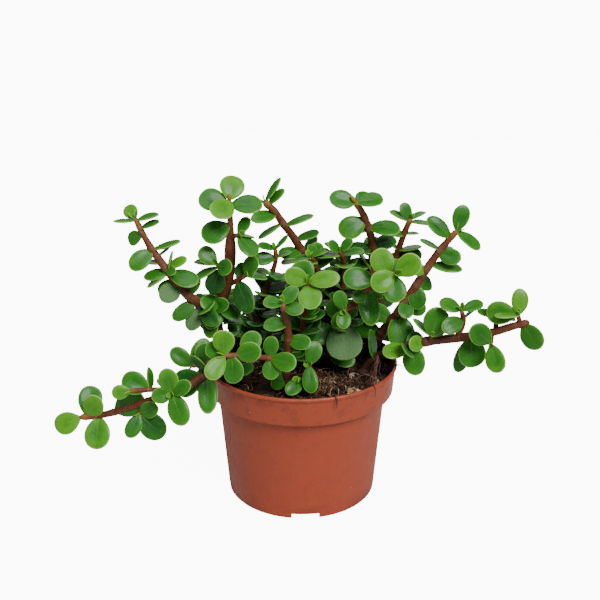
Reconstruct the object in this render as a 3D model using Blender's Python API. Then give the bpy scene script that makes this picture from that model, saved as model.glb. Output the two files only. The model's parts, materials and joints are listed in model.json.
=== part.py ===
"""Potted elephant bush: sixteen rooted stems with round paired leaves, in soil, in a plastic nursery pot.

The tables hold millimetres and degrees, and MM turns them into metres. The origin is on the pot's axis,
on the surface that the pot stands on. The front looks along -Y. A leaf's heading is the way it points as
seen from the front, from 20 degrees above level: 0 is right and 90 is up.
"""

import math
import random
from dataclasses import dataclass, replace

import bmesh
import bpy
import numpy
from mathutils import Matrix, Quaternion, Vector, noise
from mathutils.bvhtree import BVHTree

MM = 0.001
GAP = 0.3  # left between pieces that touch

# Pot
POT_HEIGHT = 87.0
POT_SIDES = 36
RIM_RADIUS = 60.0
LIP_WIDTH = 1.5
LIP_HEIGHT = 2.3
COLLAR_RADIUS = 59.0  # under the lip
COLLAR_FOOT_RADIUS = 57.7
COLLAR_FOOT_HEIGHT = 68.5
BODY_TOP_RADIUS = 52.7
FOOT_RADIUS = 47.1
WALL = 1.2
EDGE = 0.6  # the slope that stands for a rounded edge
SHELF_HEIGHT = 69.0  # where the inside widens into the collar
FLOOR_RADIUS = 45.5
BASE_UNDERSIDE = 4.0
FOOT_RING_WIDTH = 2.2
NOTCH_WIDTH = 17.0
NOTCH_HEIGHT = 3.4
NOTCH_TURN = 3.0  # degrees from the front towards +X
DRAIN_HOLES = 8
DRAIN_HOLE_RADIUS = 3.5
DRAIN_HOLE_SIDES = 8
DRAIN_CIRCLE_RADIUS = 34.0

# Soil
SOIL_EDGE_HEIGHT = 79.0
SOIL_MOUND = 3.0
SOIL_LUMP = 0.9
SOIL_LUMP_SPACING = 9.0
SOIL_RINGS = (24.0, 43.0, 56.8)
HOLE_CLEARANCE = 0.6
HOLE_DEPTH = 24.0  # along the stem, from under its root to clear of the soil

# Stems
STEM_SIDES = 6
SHOOT_SIDES = 5
CURVE_TOLERANCE = 0.3
LONGEST_RUN = 26.0
STATIONS_PER_SPAN = 6
ROOT_DEPTH = 14.0
BUD_SHARE = 0.55  # the girth of a stem's end against its tip
END_DEPTH = 0.02  # the flat piece that a stem is extruded from

# Leaves
LEAF_THICKNESS = 0.135  # of the length
LEAF_SIDES_LARGE = 9
LEAF_SIDES = 8
LEAF_SIDES_INSIDE = 7  # on the leaves that grow by rule
LARGE_LEAF = 15.0
LEAF_START = 0.45  # of the stem's radius, behind the stem's centre line
NODE_START = 0.5  # of the stem's radius, below the node
SOFT_FOLD = 0.8
OUTLINE_WEDGE = (0.05, 0.32)
NECK = 9  # the higher, the shorter a leaf's neck
LEAF_FOLD = (2.0, 16.0)
LEAF_CURL = (-0.10, 0.06)
SPREAD_AT_TIP = 48.0
SPREAD_AT_ROOT = 76.0
SEEN_CLEARANCE = 0.12
CLEARANCE = 0.35
TEST_SIDES = 8
TEST_RINGS = 4
ROOT_SHARE = 0.3  # the part of a leaf that may cross its neighbours at the node
OVER_THE_RIM = 88.3
OVER_THE_SOIL = 84.3
CLEAR_OF_RIM = 61.4
INSIDE_RIM = 55.5
SEED = 41

# The picture plane that headings are measured in
VIEW_TILT = math.radians(20)
VIEW_RIGHT = Vector((1, 0, 0))
VIEW_UP = Vector((0, math.sin(VIEW_TILT), math.cos(VIEW_TILT)))
VIEW_TOWARDS = Vector((0, -math.cos(VIEW_TILT), math.sin(VIEW_TILT)))

GREEN = (0.08, 0.30, 0.045)
TERRACOTTA = (0.42, 0.105, 0.045)
SOIL_BROWN = (0.035, 0.022, 0.014)


@dataclass(frozen=True)
class Shoot:
    """One stem or side shoot of a cutting.

    route: points, the first at the soil for a rooted stem and inside the parent for a side shoot.
    girth: diameters, evenly spread from the root to the tip.
    leaves: leaves that show, as (place along the route, heading, lean towards the viewer, length, width,
    turn of the upper face towards the sky, 1 where the other leaf of the pair grows by rule). Place 2.5 is
    halfway between the third and the fourth point.
    pairs: pairs that grow by rule, as (first place, last place, number, first length, last length, roll of
    the first).
    """

    cutting: str
    route: tuple
    girth: tuple
    leaves: tuple = ()
    pairs: tuple = ()
    rooted: bool = False


SHOOTS = (
    Shoot(
        "left_tall_stem",
        (
            (-44, 0, 80),
            (-52, 2, 103),
            (-50, 0, 123),
            (-45, -3, 137),
            (-43, -5, 153),
            (-42, -8, 174),
            (-42, -10, 192),
        ),
        (7.0, 7.0, 6.5, 6.0, 5.8, 6.2, 6.9, 3.2, 3.0),
        leaves=(
            (6.0, 80, -15, 14.5, 15, 5, 0),
            (5.9, 166, 5, 17, 15, 20, 0),
            (5.95, 238, 35, 15, 14.5, 5, 0),
            (5.85, 358, 5, 18, 14, 30, 0),
            (5.2, 209, 15, 17, 15, 15, 0),
            (2.2, 248, 25, 16, 12, 0, 1),
            (2.3, 200, 35, 13, 11, 10, 0),
        ),
        pairs=(1.0, 2.2, 3, 15, 14, 40),
        rooted=True,
    ),
    Shoot(
        "left_tall_stem",
        ((-42, -8, 168), (-37, -12, 171)),
        (3.2, 2.4),
        leaves=((1, 58, 0, 11, 8, 20, 0), (1, 311, 10, 15.5, 12, 30, 0), (0.9, 352, -12, 10, 9, 80, 0)),
    ),
    Shoot(
        "left_tall_stem",
        ((-45, -4, 143), (-50.5, -12, 152.5)),
        (3.2, 2.4),
        leaves=(
            (1, 135, 5, 13, 11, 15, 0),
            (1, 345, 40, 11, 10.5, 0, 0),
            (1, 168, -20, 14.5, 8, 60, 0),
            (0.8, 205, -10, 18, 10, 62, 0),
            (0.6, 248, -15, 15, 12.5, 0, 0),
        ),
    ),
    Shoot(
        "left_tall_stem",
        ((-44, -3, 137), (-38, -9, 142), (-33, -13, 146)),
        (3.2, 2.4),
        leaves=(
            (1, 291, 20, 21.5, 13, -15, 0),
            (1, 75, -10, 10, 7, 0, 0),
            (2, 60, 10, 12, 10.5, 20, 0),
            (2, 358, 0, 12, 9, 68, 0),
        ),
    ),
    Shoot(
        "left_tall_stem",
        (
            (-51, 1, 114),
            (-59, -4, 123),
            (-69, -8, 132),
            (-80, -10, 148),
            (-89, -10, 162),
            (-95, -8, 173),
            (-98, -7, 180),
        ),
        (5.8, 5.0, 4.2, 3.0),
        leaves=(
            (6, 128, -35, 11, 9, 5, 0),
            (5.9, 182, 0, 12.5, 9, 72, 0),
            (5.9, 15, 0, 12.5, 9.5, 62, 0),
            (5.15, 19, 10, 11, 9, 58, 0),
            (4.8, 206, -20, 9.5, 9, 10, 0),
            (4.0, 225, 15, 15.5, 12, 10, 0),
            (4.05, 14, 0, 16, 9.5, 64, 0),
            (3.6, 40, -20, 8, 6, 70, 0),
            (3.4, 170, -10, 11, 8, 70, 0),
            (3.2, 24, 0, 12, 8, 35, 0),
            (3.2, 340, 50, 9, 6.5, 0, 0),
            (3.0, 188, 5, 13, 9.5, 40, 0),
            (3.0, 350, 10, 17.5, 13, 35, 0),
            (2.6, 215, -20, 12, 9, 10, 0),
            (2.5, 224, 30, 12.5, 12.5, 0, 0),
            (2.0, 68, 20, 12, 8.5, 0, 0),
            (1.75, 222, 5, 15, 9.5, 0, 0),
            (1.3, 318, 25, 15, 10.5, 10, 0),
            (1.2, 238, 10, 15, 11, 10, 0),
            (0.7, 268, 25, 14, 10, 0, 0),
            (0.8, 20, 30, 12, 10, 10, 0),
        ),
        pairs=(1.0, 3.0, 2, 14, 13, 10),
    ),
    Shoot(
        "left_trailing_stem",
        (
            (-38, -18, 80),
            (-42, -26, 92),
            (-50, -38, 97),
            (-58, -46, 95),
            (-66, -51, 91),
            (-76, -54, 88),
            (-88, -55, 84),
            (-107.5, -50, 75),
            (-120, -47, 70.5),
            (-131, -46, 69),
        ),
        (5.0, 4.8, 3.4),
        leaves=(
            (9, 203, 0, 15, 13.5, 5, 0),
            (8.7, 82, -20, 17, 14.5, 5, 0),
            (8.6, 54, 25, 15.5, 13, 0, 0),
            (8.0, 269, 10, 18, 15.5, 0, 0),
            (7.1, 29, 20, 19.5, 15, 0, 0),
            (3.0, 203, -10, 17, 17, 10, 0),
            (2.6, 272, 25, 22.5, 12, 0, 0),
            (2.4, 215, 10, 14, 12, 50, 0),
        ),
        pairs=(0.8, 2.6, 2, 14, 13, 60),
        rooted=True,
    ),
    Shoot(
        "left_trailing_stem",
        ((-72, -53, 90), (-80, -57, 92), (-87, -60, 93.5), (-97, -63, 94)),
        (3.2, 2.4),
        leaves=((2, 157, 0, 15.5, 13.5, 10, 0), (2, 97, -30, 13, 8, 70, 0), (3, 184, 10, 9.5, 8.5, 0, 0)),
    ),
    Shoot(
        "left_trailing_stem",
        ((-89, -55, 83), (-93, -60, 78)),
        (3.0, 2.4),
        leaves=((1, 22, 25, 12, 10, 0, 0), (1, 247, 10, 14, 9.5, 0, 0), (1, 316, 0, 18, 15, 0, 0)),
    ),
    Shoot(
        "left_trailing_stem",
        ((-67, -52, 91), (-72, -60, 93), (-73, -66, 94)),
        (3.2, 2.4),
        leaves=(
            (2, 102, 15, 14, 11.5, 5, 0),
            (2, 190, 15, 10.5, 9.5, 0, 0),
            (2, 28, 15, 12, 9, 10, 0),
            (1.9, 291, 10, 18.5, 12.5, 0, 0),
            (1, 150, -20, 12, 8, 50, 0),
        ),
    ),
    Shoot(
        "left_trailing_stem",
        ((-42, -26, 92), (-50, -30, 98), (-58, -34, 98.5), (-65, -36, 97)),
        (3.4, 2.4),
        leaves=((3, 140, 10, 15, 10.5, 10, 0), (3, 64, -10, 17.5, 11, 10, 0), (1.6, 250, 0, 13, 11, 20, 1)),
    ),
    Shoot(
        "front_creeping_stem",
        ((-9, -38, 80), (-9, -38, 96), (-8, -38, 109), (-8, -40, 124), (-11, -46, 141)),
        (4.8, 4.8, 3.4),
        leaves=(
            (4, 50, -10, 11, 8.5, 10, 0),
            (3.95, 175, 10, 9.5, 8.5, 35, 0),
            (3.8, 355, 20, 10.5, 9, 30, 0),
            (3.25, 182, 10, 12, 9.5, 30, 0),
            (2.5, 350, 15, 12, 10, 20, 0),
            (1.0, 243, -5, 14, 11, 10, 0),
        ),
        rooted=True,
    ),
    Shoot(
        "front_creeping_stem",
        ((-9, -38, 101), (-19, -46, 107), (-32, -50, 110), (-44, -56, 113)),
        (3.6, 2.6),
        leaves=(
            (3, 93, 10, 13.5, 13, 0, 0),
            (3, 235, 20, 15.5, 11, 0, 0),
            (2.9, 160, -15, 13, 10.5, 5, 0),
            (2.6, 275, -10, 15, 12, 0, 0),
            (2.5, 15, 20, 15, 12, 0, 0),
            (2.1, 60, -10, 14.5, 12, 10, 0),
            (1, 85, 5, 11.5, 9, 0, 0),
            (1, 275, 10, 11, 10, 0, 0),
            (1.0, 348, 25, 16, 11.5, 10, 0),
        ),
    ),
    Shoot(
        "front_short_stem",
        ((9, -24, 80), (8, -28, 88), (5, -35, 96), (4, -40, 100)),
        (3.8, 2.6),
        leaves=((3, 70, 0, 13.5, 10, 0, 0), (3, 275, 15, 15.5, 9.5, 0, 0), (0.5, 212, 10, 10, 7, 10, 0)),
        rooted=True,
    ),
    Shoot(
        "front_short_stem",
        ((8, -28, 86), (3, -36, 89), (-1, -41, 91)),
        (2.8, 2.2),
        leaves=((1.6, 237, 15, 13, 9, 10, 0),),
    ),
    Shoot(
        "centre_front_stem",
        ((1, -4, 80), (1, -6, 95), (1, -14, 115), (3, -22, 135), (4, -32, 149)),
        (4.6, 2.8),
        leaves=(
            (4, 160, 10, 13.5, 11.5, 0, 0),
            (4, 8, 10, 17, 11, 20, 0),
            (3.9, 113, -10, 13.5, 14.5, 0, 0),
            (3.85, 278, 30, 14.5, 14, 0, 0),
            (1.6, 14, -5, 17, 15, 20, 0),
        ),
        pairs=(0.7, 3.2, 4, 16, 14, 20),
        rooted=True,
    ),
    Shoot(
        "centre_rear_stem",
        ((22, 14, 80), (23, 12, 100), (25, 8, 123), (26, 4, 147), (23, 0, 158)),
        (4.6, 2.6),
        leaves=(
            (4, 150, 0, 9.5, 7.5, 60, 0),
            (4, 165, 35, 9, 8, 20, 0),
            (4, 40, 10, 9, 8, 40, 0),
            (3.6, 180, 10, 15, 10, 65, 0),
            (3.6, 10, -10, 13, 10, 60, 0),
        ),
        pairs=(0.5, 3.0, 5, 16, 14, 0),
        rooted=True,
    ),
    Shoot(
        "centre_rear_stem",
        ((22, 13, 90), (14, 9, 108), (11, 5, 131), (9, 0, 148), (6, -4, 155)),
        (3.8, 2.4),
        leaves=((4, 190, 0, 9.5, 8, 60, 0), (4, 30, 0, 10, 8, 60, 0), (4, 85, -20, 8, 7, 20, 0)),
        pairs=(1.2, 3.4, 4, 15, 12, 60),
    ),
    Shoot(
        "right_main_stem",
        (
            (17, -2, 80),
            (17, -3, 97),
            (23, -8, 114),
            (32, -14, 129),
            (41, -22, 144),
            (48, -30, 151),
            (53, -40, 156),
        ),
        (6.2, 3.2),
        leaves=(
            (5.4, 112, 0, 15, 14, 0, 0),
            (6, 209, 15, 14, 13, 0, 0),
            (6, 31, 15, 15.5, 13.5, 10, 0),
            (5.8, 275, 25, 15, 13.5, 0, 0),
            (5.2, 300, -10, 15, 13, 0, 0),
            (5.3, 30, -25, 15, 12, 20, 0),
            (4.3, 173, 10, 17.5, 14, 15, 0),
            (3.5, 355, 10, 10.5, 8, 50, 0),
            (3.6, 225, 30, 9, 8, 0, 0),
            (3.7, 281, 20, 20, 12.5, 0, 0),
            (2.2, 278, 20, 23.5, 22.5, 0, 0),
            (0.6, 322, 10, 15, 12, 0, 0),
        ),
        pairs=(0.7, 1.6, 2, 15, 14, 90),
        rooted=True,
    ),
    Shoot(
        "right_main_stem",
        ((31, -14, 127), (27, -22, 128), (25, -28, 129)),
        (3.0, 2.2),
        leaves=((2, 110, 5, 11.5, 8.5, 0, 0), (2, 262, 25, 10, 9, 0, 0), (1.8, 235, -10, 11, 8, 30, 0)),
    ),
    Shoot(
        "right_leaning_stem",
        (
            (43, 12, 80),
            (47, 9, 93),
            (52, 6, 104),
            (60, 2, 117),
            (71, 2, 136),
            (82, 3, 154),
            (89, 4, 163),
            (94, 4, 169),
        ),
        (6.4, 5.8, 4.8, 3.6),
        leaves=(
            (7, 74, 0, 15, 11, 5, 0),
            (7, 323, 10, 16, 10, 35, 0),
            (6.4, 143, 5, 17, 11.5, 25, 0),
            (5.4, 152, 0, 12, 8, 60, 0),
            (5.3, 20, -30, 8, 6, 60, 0),
            (5.2, 340, 25, 13, 11, 10, 0),
            (4.6, 352, 5, 18, 10.5, 50, 0),
            (4.5, 178, 30, 9, 8.5, 10, 0),
            (3.95, 274, 0, 13, 11.5, 0, 0),
            (3.5, 262, 30, 11, 10, 0, 0),
            (3.3, 348, -20, 14, 10, 0, 0),
            (3.0, 281, 20, 21.5, 17.5, 0, 0),
            (2.6, 150, -20, 15, 12, 10, 0),
            (1.8, 163, -25, 18, 13, 10, 0),
            (1.5, 22, -30, 16, 12, 10, 0),
            (4.0, 8, -40, 12, 10, 10, 0),
        ),
        rooted=True,
    ),
    Shoot(
        "right_spreading_stem",
        (
            (38, -8, 80),
            (44, -8, 89),
            (60, -12, 98),
            (76, -16, 105),
            (94, -18, 108),
            (112.5, -20, 112),
            (127, -21.5, 117.3),
            (136, -22, 119.5),
        ),
        (5.8, 5.8, 5.2, 4.2),
        leaves=(
            (2.3, 195, 25, 14, 12, 35, 0),
            (3.0, 190, 30, 10, 10, 0, 0),
            (2.55, 281, 0, 16, 14, 0, 0),
            (4.5, 271, -5, 16.5, 17, 0, 0),
            (4.5, 251, -25, 23, 10, 0, 0),
            (6.6, 301, 10, 15.5, 14, -30, 0),
            (0.2, 172, 10, 13, 10, 10, 0),
        ),
        pairs=(1.1, 2.4, 2, 15, 13, 80),
        rooted=True,
    ),
    Shoot(
        "right_spreading_stem",
        ((77, -16, 105), (78, -20, 110)),
        (3.4, 2.6),
        leaves=((1, 74, 10, 17.5, 16, 0, 0), (1, 45, -20, 14, 10, 20, 0), (1, 130, -25, 15, 9, 60, 0)),
    ),
    Shoot(
        "right_spreading_stem",
        ((94, -18, 109), (97, -18, 118), (95, -20, 127)),
        (3.6, 2.6),
        leaves=((2, 157, 0, 13, 11, 35, 0), (2, 20, 0, 12.5, 9.5, 45, 0), (1.3, 205, 25, 15, 10.5, 10, 1)),
    ),
    Shoot(
        "right_spreading_stem",
        ((114, -20, 112), (113, -25, 110.5), (112, -30, 109.3)),
        (3.2, 2.4),
        leaves=((2, 143, 15, 15.5, 13.5, 0, 0), (2, 282, 10, 17, 12, -15, 0)),
    ),
    Shoot(
        "right_spreading_stem",
        ((116, -20, 113), (117.5, -16, 118), (119, -14, 121)),
        (3.2, 2.4),
        leaves=((2, 165, -5, 12, 8, 50, 0), (2, 352, -10, 10, 8, 65, 0)),
    ),
    Shoot(
        "right_spreading_stem",
        ((130, -21.5, 117.5), (128.5, -23, 125)),
        (3.2, 2.4),
        leaves=((1, 85, 0, 15, 10.5, 0, 0), (1, 181, 25, 15.5, 10, 72, 0), (1, 173, -15, 18, 14.5, 10, 0)),
    ),
    Shoot(
        "rear_bud_stem",
        (
            (30, 26, 80),
            (32, 25, 90),
            (39, 22, 111),
            (44, 18, 139),
            (44, 15, 156),
            (41, 12, 168),
            (37, 10, 178),
            (32, 8, 186),
        ),
        (5.8, 5.6, 5.2, 3.8),
        leaves=(
            (7, 171, 5, 14.5, 13, 20, 0),
            (7, 6, 5, 15, 12, 35, 0),
            (6.9, 48, -20, 10, 10, 20, 0),
            (5.75, 208, 15, 16, 14.5, 5, 0),
            (5.2, 356, 10, 17.5, 13, 35, 0),
            (5.0, 190, -20, 12, 9, 60, 0),
            (4.0, 185, 10, 13.5, 11, 35, 0),
            (4.0, 20, 5, 13, 12, 35, 0),
            (3.4, 187, 10, 15, 11, 35, 0),
        ),
        pairs=(0.7, 3.7, 5, 16, 14, 0),
        rooted=True,
    ),
    Shoot(
        "rear_right_stem",
        (
            (38, 32, 80),
            (41, 31, 92),
            (48, 30, 109),
            (57, 28, 136),
            (62, 26, 153),
            (65, 25, 163),
            (68, 24, 171),
        ),
        (5.0, 4.4, 3.4),
        leaves=(
            (5.9, 150, 0, 12.5, 8.5, 55, 0),
            (6, 118, 5, 10, 8.5, 15, 0),
            (6, 30, -15, 10, 8, 60, 0),
            (5.8, 358, 5, 12.5, 8.5, 65, 0),
            (4.9, 175, 15, 9, 8, 40, 0),
            (4.9, 5, 0, 8, 7, 70, 0),
            (3.5, 4, 10, 15, 12.5, 25, 0),
        ),
        pairs=(0.7, 3.9, 5, 16, 13, 78),
        rooted=True,
    ),
    Shoot(
        "rear_arching_stem",
        (
            (10, 30, 80),
            (12, 28, 95),
            (11, 25, 117),
            (4, 22, 142),
            (-3, 20, 157),
            (-11, 18, 169),
            (-17, 17, 178),
            (-23, 16, 184),
        ),
        (5.4, 5.2, 4.8, 4.0),
        leaves=(
            (7, 57, 0, 16, 9, 62, 0),
            (6.6, 45, 10, 12, 9, 50, 0),
            (7, 175, -10, 8, 7, 60, 0),
            (5.9, 197, 20, 15, 11, 35, 0),
            (5.2, 212, 0, 16, 9.5, 65, 0),
            (5.0, 22, 5, 17, 10, 60, 0),
            (4.1, 20, -5, 13.5, 10, 50, 0),
            (3.6, 197, 30, 14, 11.5, 35, 0),
        ),
        pairs=(0.5, 3.4, 6, 16, 14, 30),
        rooted=True,
    ),
    Shoot(
        "centre_left_stem",
        (
            (-25, 20, 80),
            (-27, 18, 92),
            (-28, 15, 103),
            (-25, 12, 121),
            (-20, 10, 135),
            (-16, 8, 148),
            (-16, 6, 157),
        ),
        (4.6, 2.6),
        leaves=(
            (6, 50, -5, 10.5, 8, 65, 0),
            (6, 165, 5, 10, 8, 50, 0),
            (5.4, 185, 15, 12.5, 9.5, 20, 0),
            (5.4, 20, -10, 9, 8, 65, 0),
            (4.3, 150, -10, 8, 7, 60, 0),
            (2.0, 178, 15, 18, 15, 10, 0),
        ),
        pairs=(0.9, 4.0, 6, 16, 14, 0),
        rooted=True,
    ),
    Shoot(
        "back_left_stem",
        ((-28, 34, 80), (-31, 39, 93), (-38, 46, 102), (-47, 52, 104), (-54, 57, 101)),
        (4.6, 2.6),
        pairs=(0.6, 4.0, 5, 16, 12, 20),
        rooted=True,
    ),
    Shoot(
        "back_left_stem",
        ((-31, 39, 91), (-42, 36, 101), (-51, 34, 110), (-56, 33, 118)),
        (3.4, 2.4),
        pairs=(0.8, 3.0, 4, 15, 11, 50),
    ),
    Shoot(
        "back_centre_stem",
        ((-5, 38, 80), (-6, 43, 93), (-8, 50, 101), (-8, 59, 102), (-6, 66.5, 99)),
        (4.6, 2.6),
        pairs=(0.6, 4.0, 5, 16, 12, 60),
        rooted=True,
    ),
    Shoot(
        "back_centre_stem",
        ((-6, 42, 90), (-11, 40, 103), (-14, 40, 115), (-13, 41, 124)),
        (3.4, 2.4),
        pairs=(0.8, 3.0, 4, 15, 11, 10),
    ),
    Shoot(
        "back_right_stem",
        ((20, 38, 80), (24, 42, 93), (32, 49, 102), (42, 55, 104), (50, 60, 102)),
        (4.6, 2.6),
        pairs=(0.6, 4.0, 5, 16, 12, 0),
        rooted=True,
    ),
    Shoot(
        "back_right_stem",
        ((23, 41, 91), (21, 40, 104), (23, 40, 117), (28, 42, 126)),
        (3.4, 2.4),
        pairs=(0.8, 3.0, 4, 15, 11, 40),
    ),
)


def clear_scene():
    for old in list(bpy.data.objects):
        bpy.data.objects.remove(old)


def plain_material(name, colour, roughness):
    made = bpy.data.materials.new(name)
    made.use_nodes = True
    shader = made.node_tree.nodes["Principled BSDF"]
    shader.inputs["Base Color"].default_value = (*colour, 1)
    shader.inputs["Roughness"].default_value = roughness
    shader.inputs["Metallic"].default_value = 0
    return made


def placed(name, bm, material=None, collection=None):
    """The bmesh, in millimetres, as an object in metres."""
    bmesh.ops.transform(bm, matrix=Matrix.Scale(MM, 4), verts=bm.verts)
    mesh = bpy.data.meshes.new(name)
    bm.to_mesh(mesh)
    bm.free()
    if material:
        mesh.materials.append(material)
    made = bpy.data.objects.new(name, mesh)
    (collection or bpy.context.scene.collection).objects.link(made)
    return made


def helpers(name):
    """A collection for the shapes that a Boolean takes, out of the render."""
    made = bpy.data.collections.new(name)
    made.hide_render = True
    bpy.context.scene.collection.children.link(made)
    return made


def combine(target, operation, others):
    """One applied Boolean with everything in a collection, which is then emptied."""
    for other in others.objects:
        other.hide_render = True
        other.display_type = "WIRE"
    joint = target.modifiers.new(operation.title(), "BOOLEAN")
    joint.operation = operation
    joint.operand_type = "COLLECTION"
    joint.collection = others
    graph = bpy.context.evaluated_depsgraph_get()
    mesh = bpy.data.meshes.new_from_object(target.evaluated_get(graph))
    target.modifiers.clear()
    target.data = mesh
    for other in list(others.objects):
        bpy.data.objects.remove(other)
    bpy.data.collections.remove(others)


def turned(profile):
    """The (radius, height) points turned about Z: a closed solid where they start and end on the axis."""
    bm = bmesh.new()
    points = [bm.verts.new((radius, 0, height)) for radius, height in profile]
    edges = [bm.edges.new(pair) for pair in zip(points, points[1:])]
    bmesh.ops.spin(
        bm,
        geom=points + edges,
        cent=(0, 0, 0),
        axis=(0, 0, 1),
        angle=math.tau,
        steps=POT_SIDES,
        use_merge=True,
    )
    bmesh.ops.remove_doubles(bm, verts=bm.verts, dist=1e-4)
    bmesh.ops.recalc_face_normals(bm, faces=bm.faces)
    return bm


def rod(depth, radius, sides):
    """An upright cutter about the origin."""
    bm = bmesh.new()
    bmesh.ops.create_cone(bm, cap_ends=True, segments=sides, radius1=radius, radius2=radius, depth=depth)
    return bm


def pot():
    floor = BASE_UNDERSIDE + WALL
    profile = (
        (0, floor),
        (FLOOR_RADIUS, floor),
        (BODY_TOP_RADIUS - WALL, SHELF_HEIGHT),
        (COLLAR_FOOT_RADIUS - WALL, SHELF_HEIGHT + EDGE),
        (COLLAR_RADIUS - WALL, POT_HEIGHT - LIP_HEIGHT),
        (RIM_RADIUS - LIP_WIDTH, POT_HEIGHT),
        (RIM_RADIUS - EDGE, POT_HEIGHT),
        (RIM_RADIUS, POT_HEIGHT - EDGE),
        (RIM_RADIUS, POT_HEIGHT - LIP_HEIGHT + EDGE),
        (COLLAR_RADIUS, POT_HEIGHT - LIP_HEIGHT),
        (COLLAR_FOOT_RADIUS, COLLAR_FOOT_HEIGHT + EDGE),
        (COLLAR_FOOT_RADIUS - EDGE, COLLAR_FOOT_HEIGHT),
        (BODY_TOP_RADIUS, COLLAR_FOOT_HEIGHT - EDGE),
        (FOOT_RADIUS, EDGE),
        (FOOT_RADIUS - EDGE, 0),
        (FOOT_RADIUS - FOOT_RING_WIDTH, 0),
        (FOOT_RADIUS - FOOT_RING_WIDTH, BASE_UNDERSIDE),
        (0, BASE_UNDERSIDE),
    )
    made = placed("pot", turned(profile), plain_material("terracotta_plastic", TERRACOTTA, 0.5))
    cutters = helpers("pot_cutters")
    for quarter in range(4):
        bm = bmesh.new()
        bmesh.ops.create_cube(bm, size=1)
        bmesh.ops.scale(bm, vec=(NOTCH_WIDTH, 3 * FOOT_RING_WIDTH, 2 * NOTCH_HEIGHT), verts=bm.verts)
        bmesh.ops.translate(bm, vec=(0, -(FOOT_RADIUS - FOOT_RING_WIDTH / 2), 0), verts=bm.verts)
        turn = math.radians(NOTCH_TURN + 90 * quarter)
        bmesh.ops.rotate(bm, cent=(0, 0, 0), matrix=Matrix.Rotation(turn, 3, "Z"), verts=bm.verts)
        placed(f"notch_{quarter}", bm, collection=cutters)
    for hole in range(DRAIN_HOLES):
        turn = math.tau * (hole + 0.5) / DRAIN_HOLES
        x, y = DRAIN_CIRCLE_RADIUS * math.cos(turn), DRAIN_CIRCLE_RADIUS * math.sin(turn)
        bm = rod(4 * WALL, DRAIN_HOLE_RADIUS, DRAIN_HOLE_SIDES)
        bmesh.ops.translate(bm, vec=(x, y, (BASE_UNDERSIDE + floor) / 2), verts=bm.verts)
        placed(f"drain_{hole}", bm, collection=cutters)
    combine(made, "DIFFERENCE", cutters)
    made.data.shade_smooth()
    made.data.set_sharp_from_angle(angle=math.radians(35))


def soil_height(x, y):
    share = math.hypot(x, y) / RIM_RADIUS
    lump = noise.noise(Vector((x, y, 0)) / SOIL_LUMP_SPACING)
    return SOIL_EDGE_HEIGHT + SOIL_MOUND * (1 - share * share) + SOIL_LUMP * lump


def soil(stems):
    floor = BASE_UNDERSIDE + WALL + GAP
    profile = (
        (0, SOIL_EDGE_HEIGHT),
        *((radius, SOIL_EDGE_HEIGHT) for radius in SOIL_RINGS),
        (COLLAR_FOOT_RADIUS - WALL - GAP, SHELF_HEIGHT + EDGE + GAP),
        (BODY_TOP_RADIUS - WALL - GAP, SHELF_HEIGHT + GAP),
        (FLOOR_RADIUS - GAP, floor),
        (0, floor),
    )
    bm = turned(profile)
    for point in bm.verts:
        if abs(point.co.z - SOIL_EDGE_HEIGHT) < 0.01:
            point.co.z = soil_height(point.co.x, point.co.y)
    made = placed("soil", bm, plain_material("potting_soil", SOIL_BROWN, 0.95))
    cutters = helpers("root_holes")
    for number, stem in enumerate(stems):
        foot = stem.stations[0]
        bm = rod(HOLE_DEPTH, foot.radius + HOLE_CLEARANCE, STEM_SIDES)
        middle = Matrix.Translation((0, 0, HOLE_DEPTH / 2 - HOLE_CLEARANCE))
        bmesh.ops.transform(bm, matrix=foot.matrix() @ middle, verts=bm.verts)
        placed(f"hole_{number}", bm, collection=cutters)
    combine(made, "DIFFERENCE", cutters)


@dataclass(frozen=True)
class Station:
    """One place on a stem: its centre, the way it runs, a direction across it, its radius and its place."""

    point: Vector
    along: Vector
    across: Vector
    radius: float
    place: float

    def matrix(self):
        third = self.along.cross(self.across)
        turn = Matrix((self.across, third, self.along)).transposed()
        return Matrix.Translation(self.point) @ turn.to_4x4()

    def corner(self, turn):
        return self.matrix() @ (self.radius * Vector((math.cos(turn), math.sin(turn), 0)))


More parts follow.
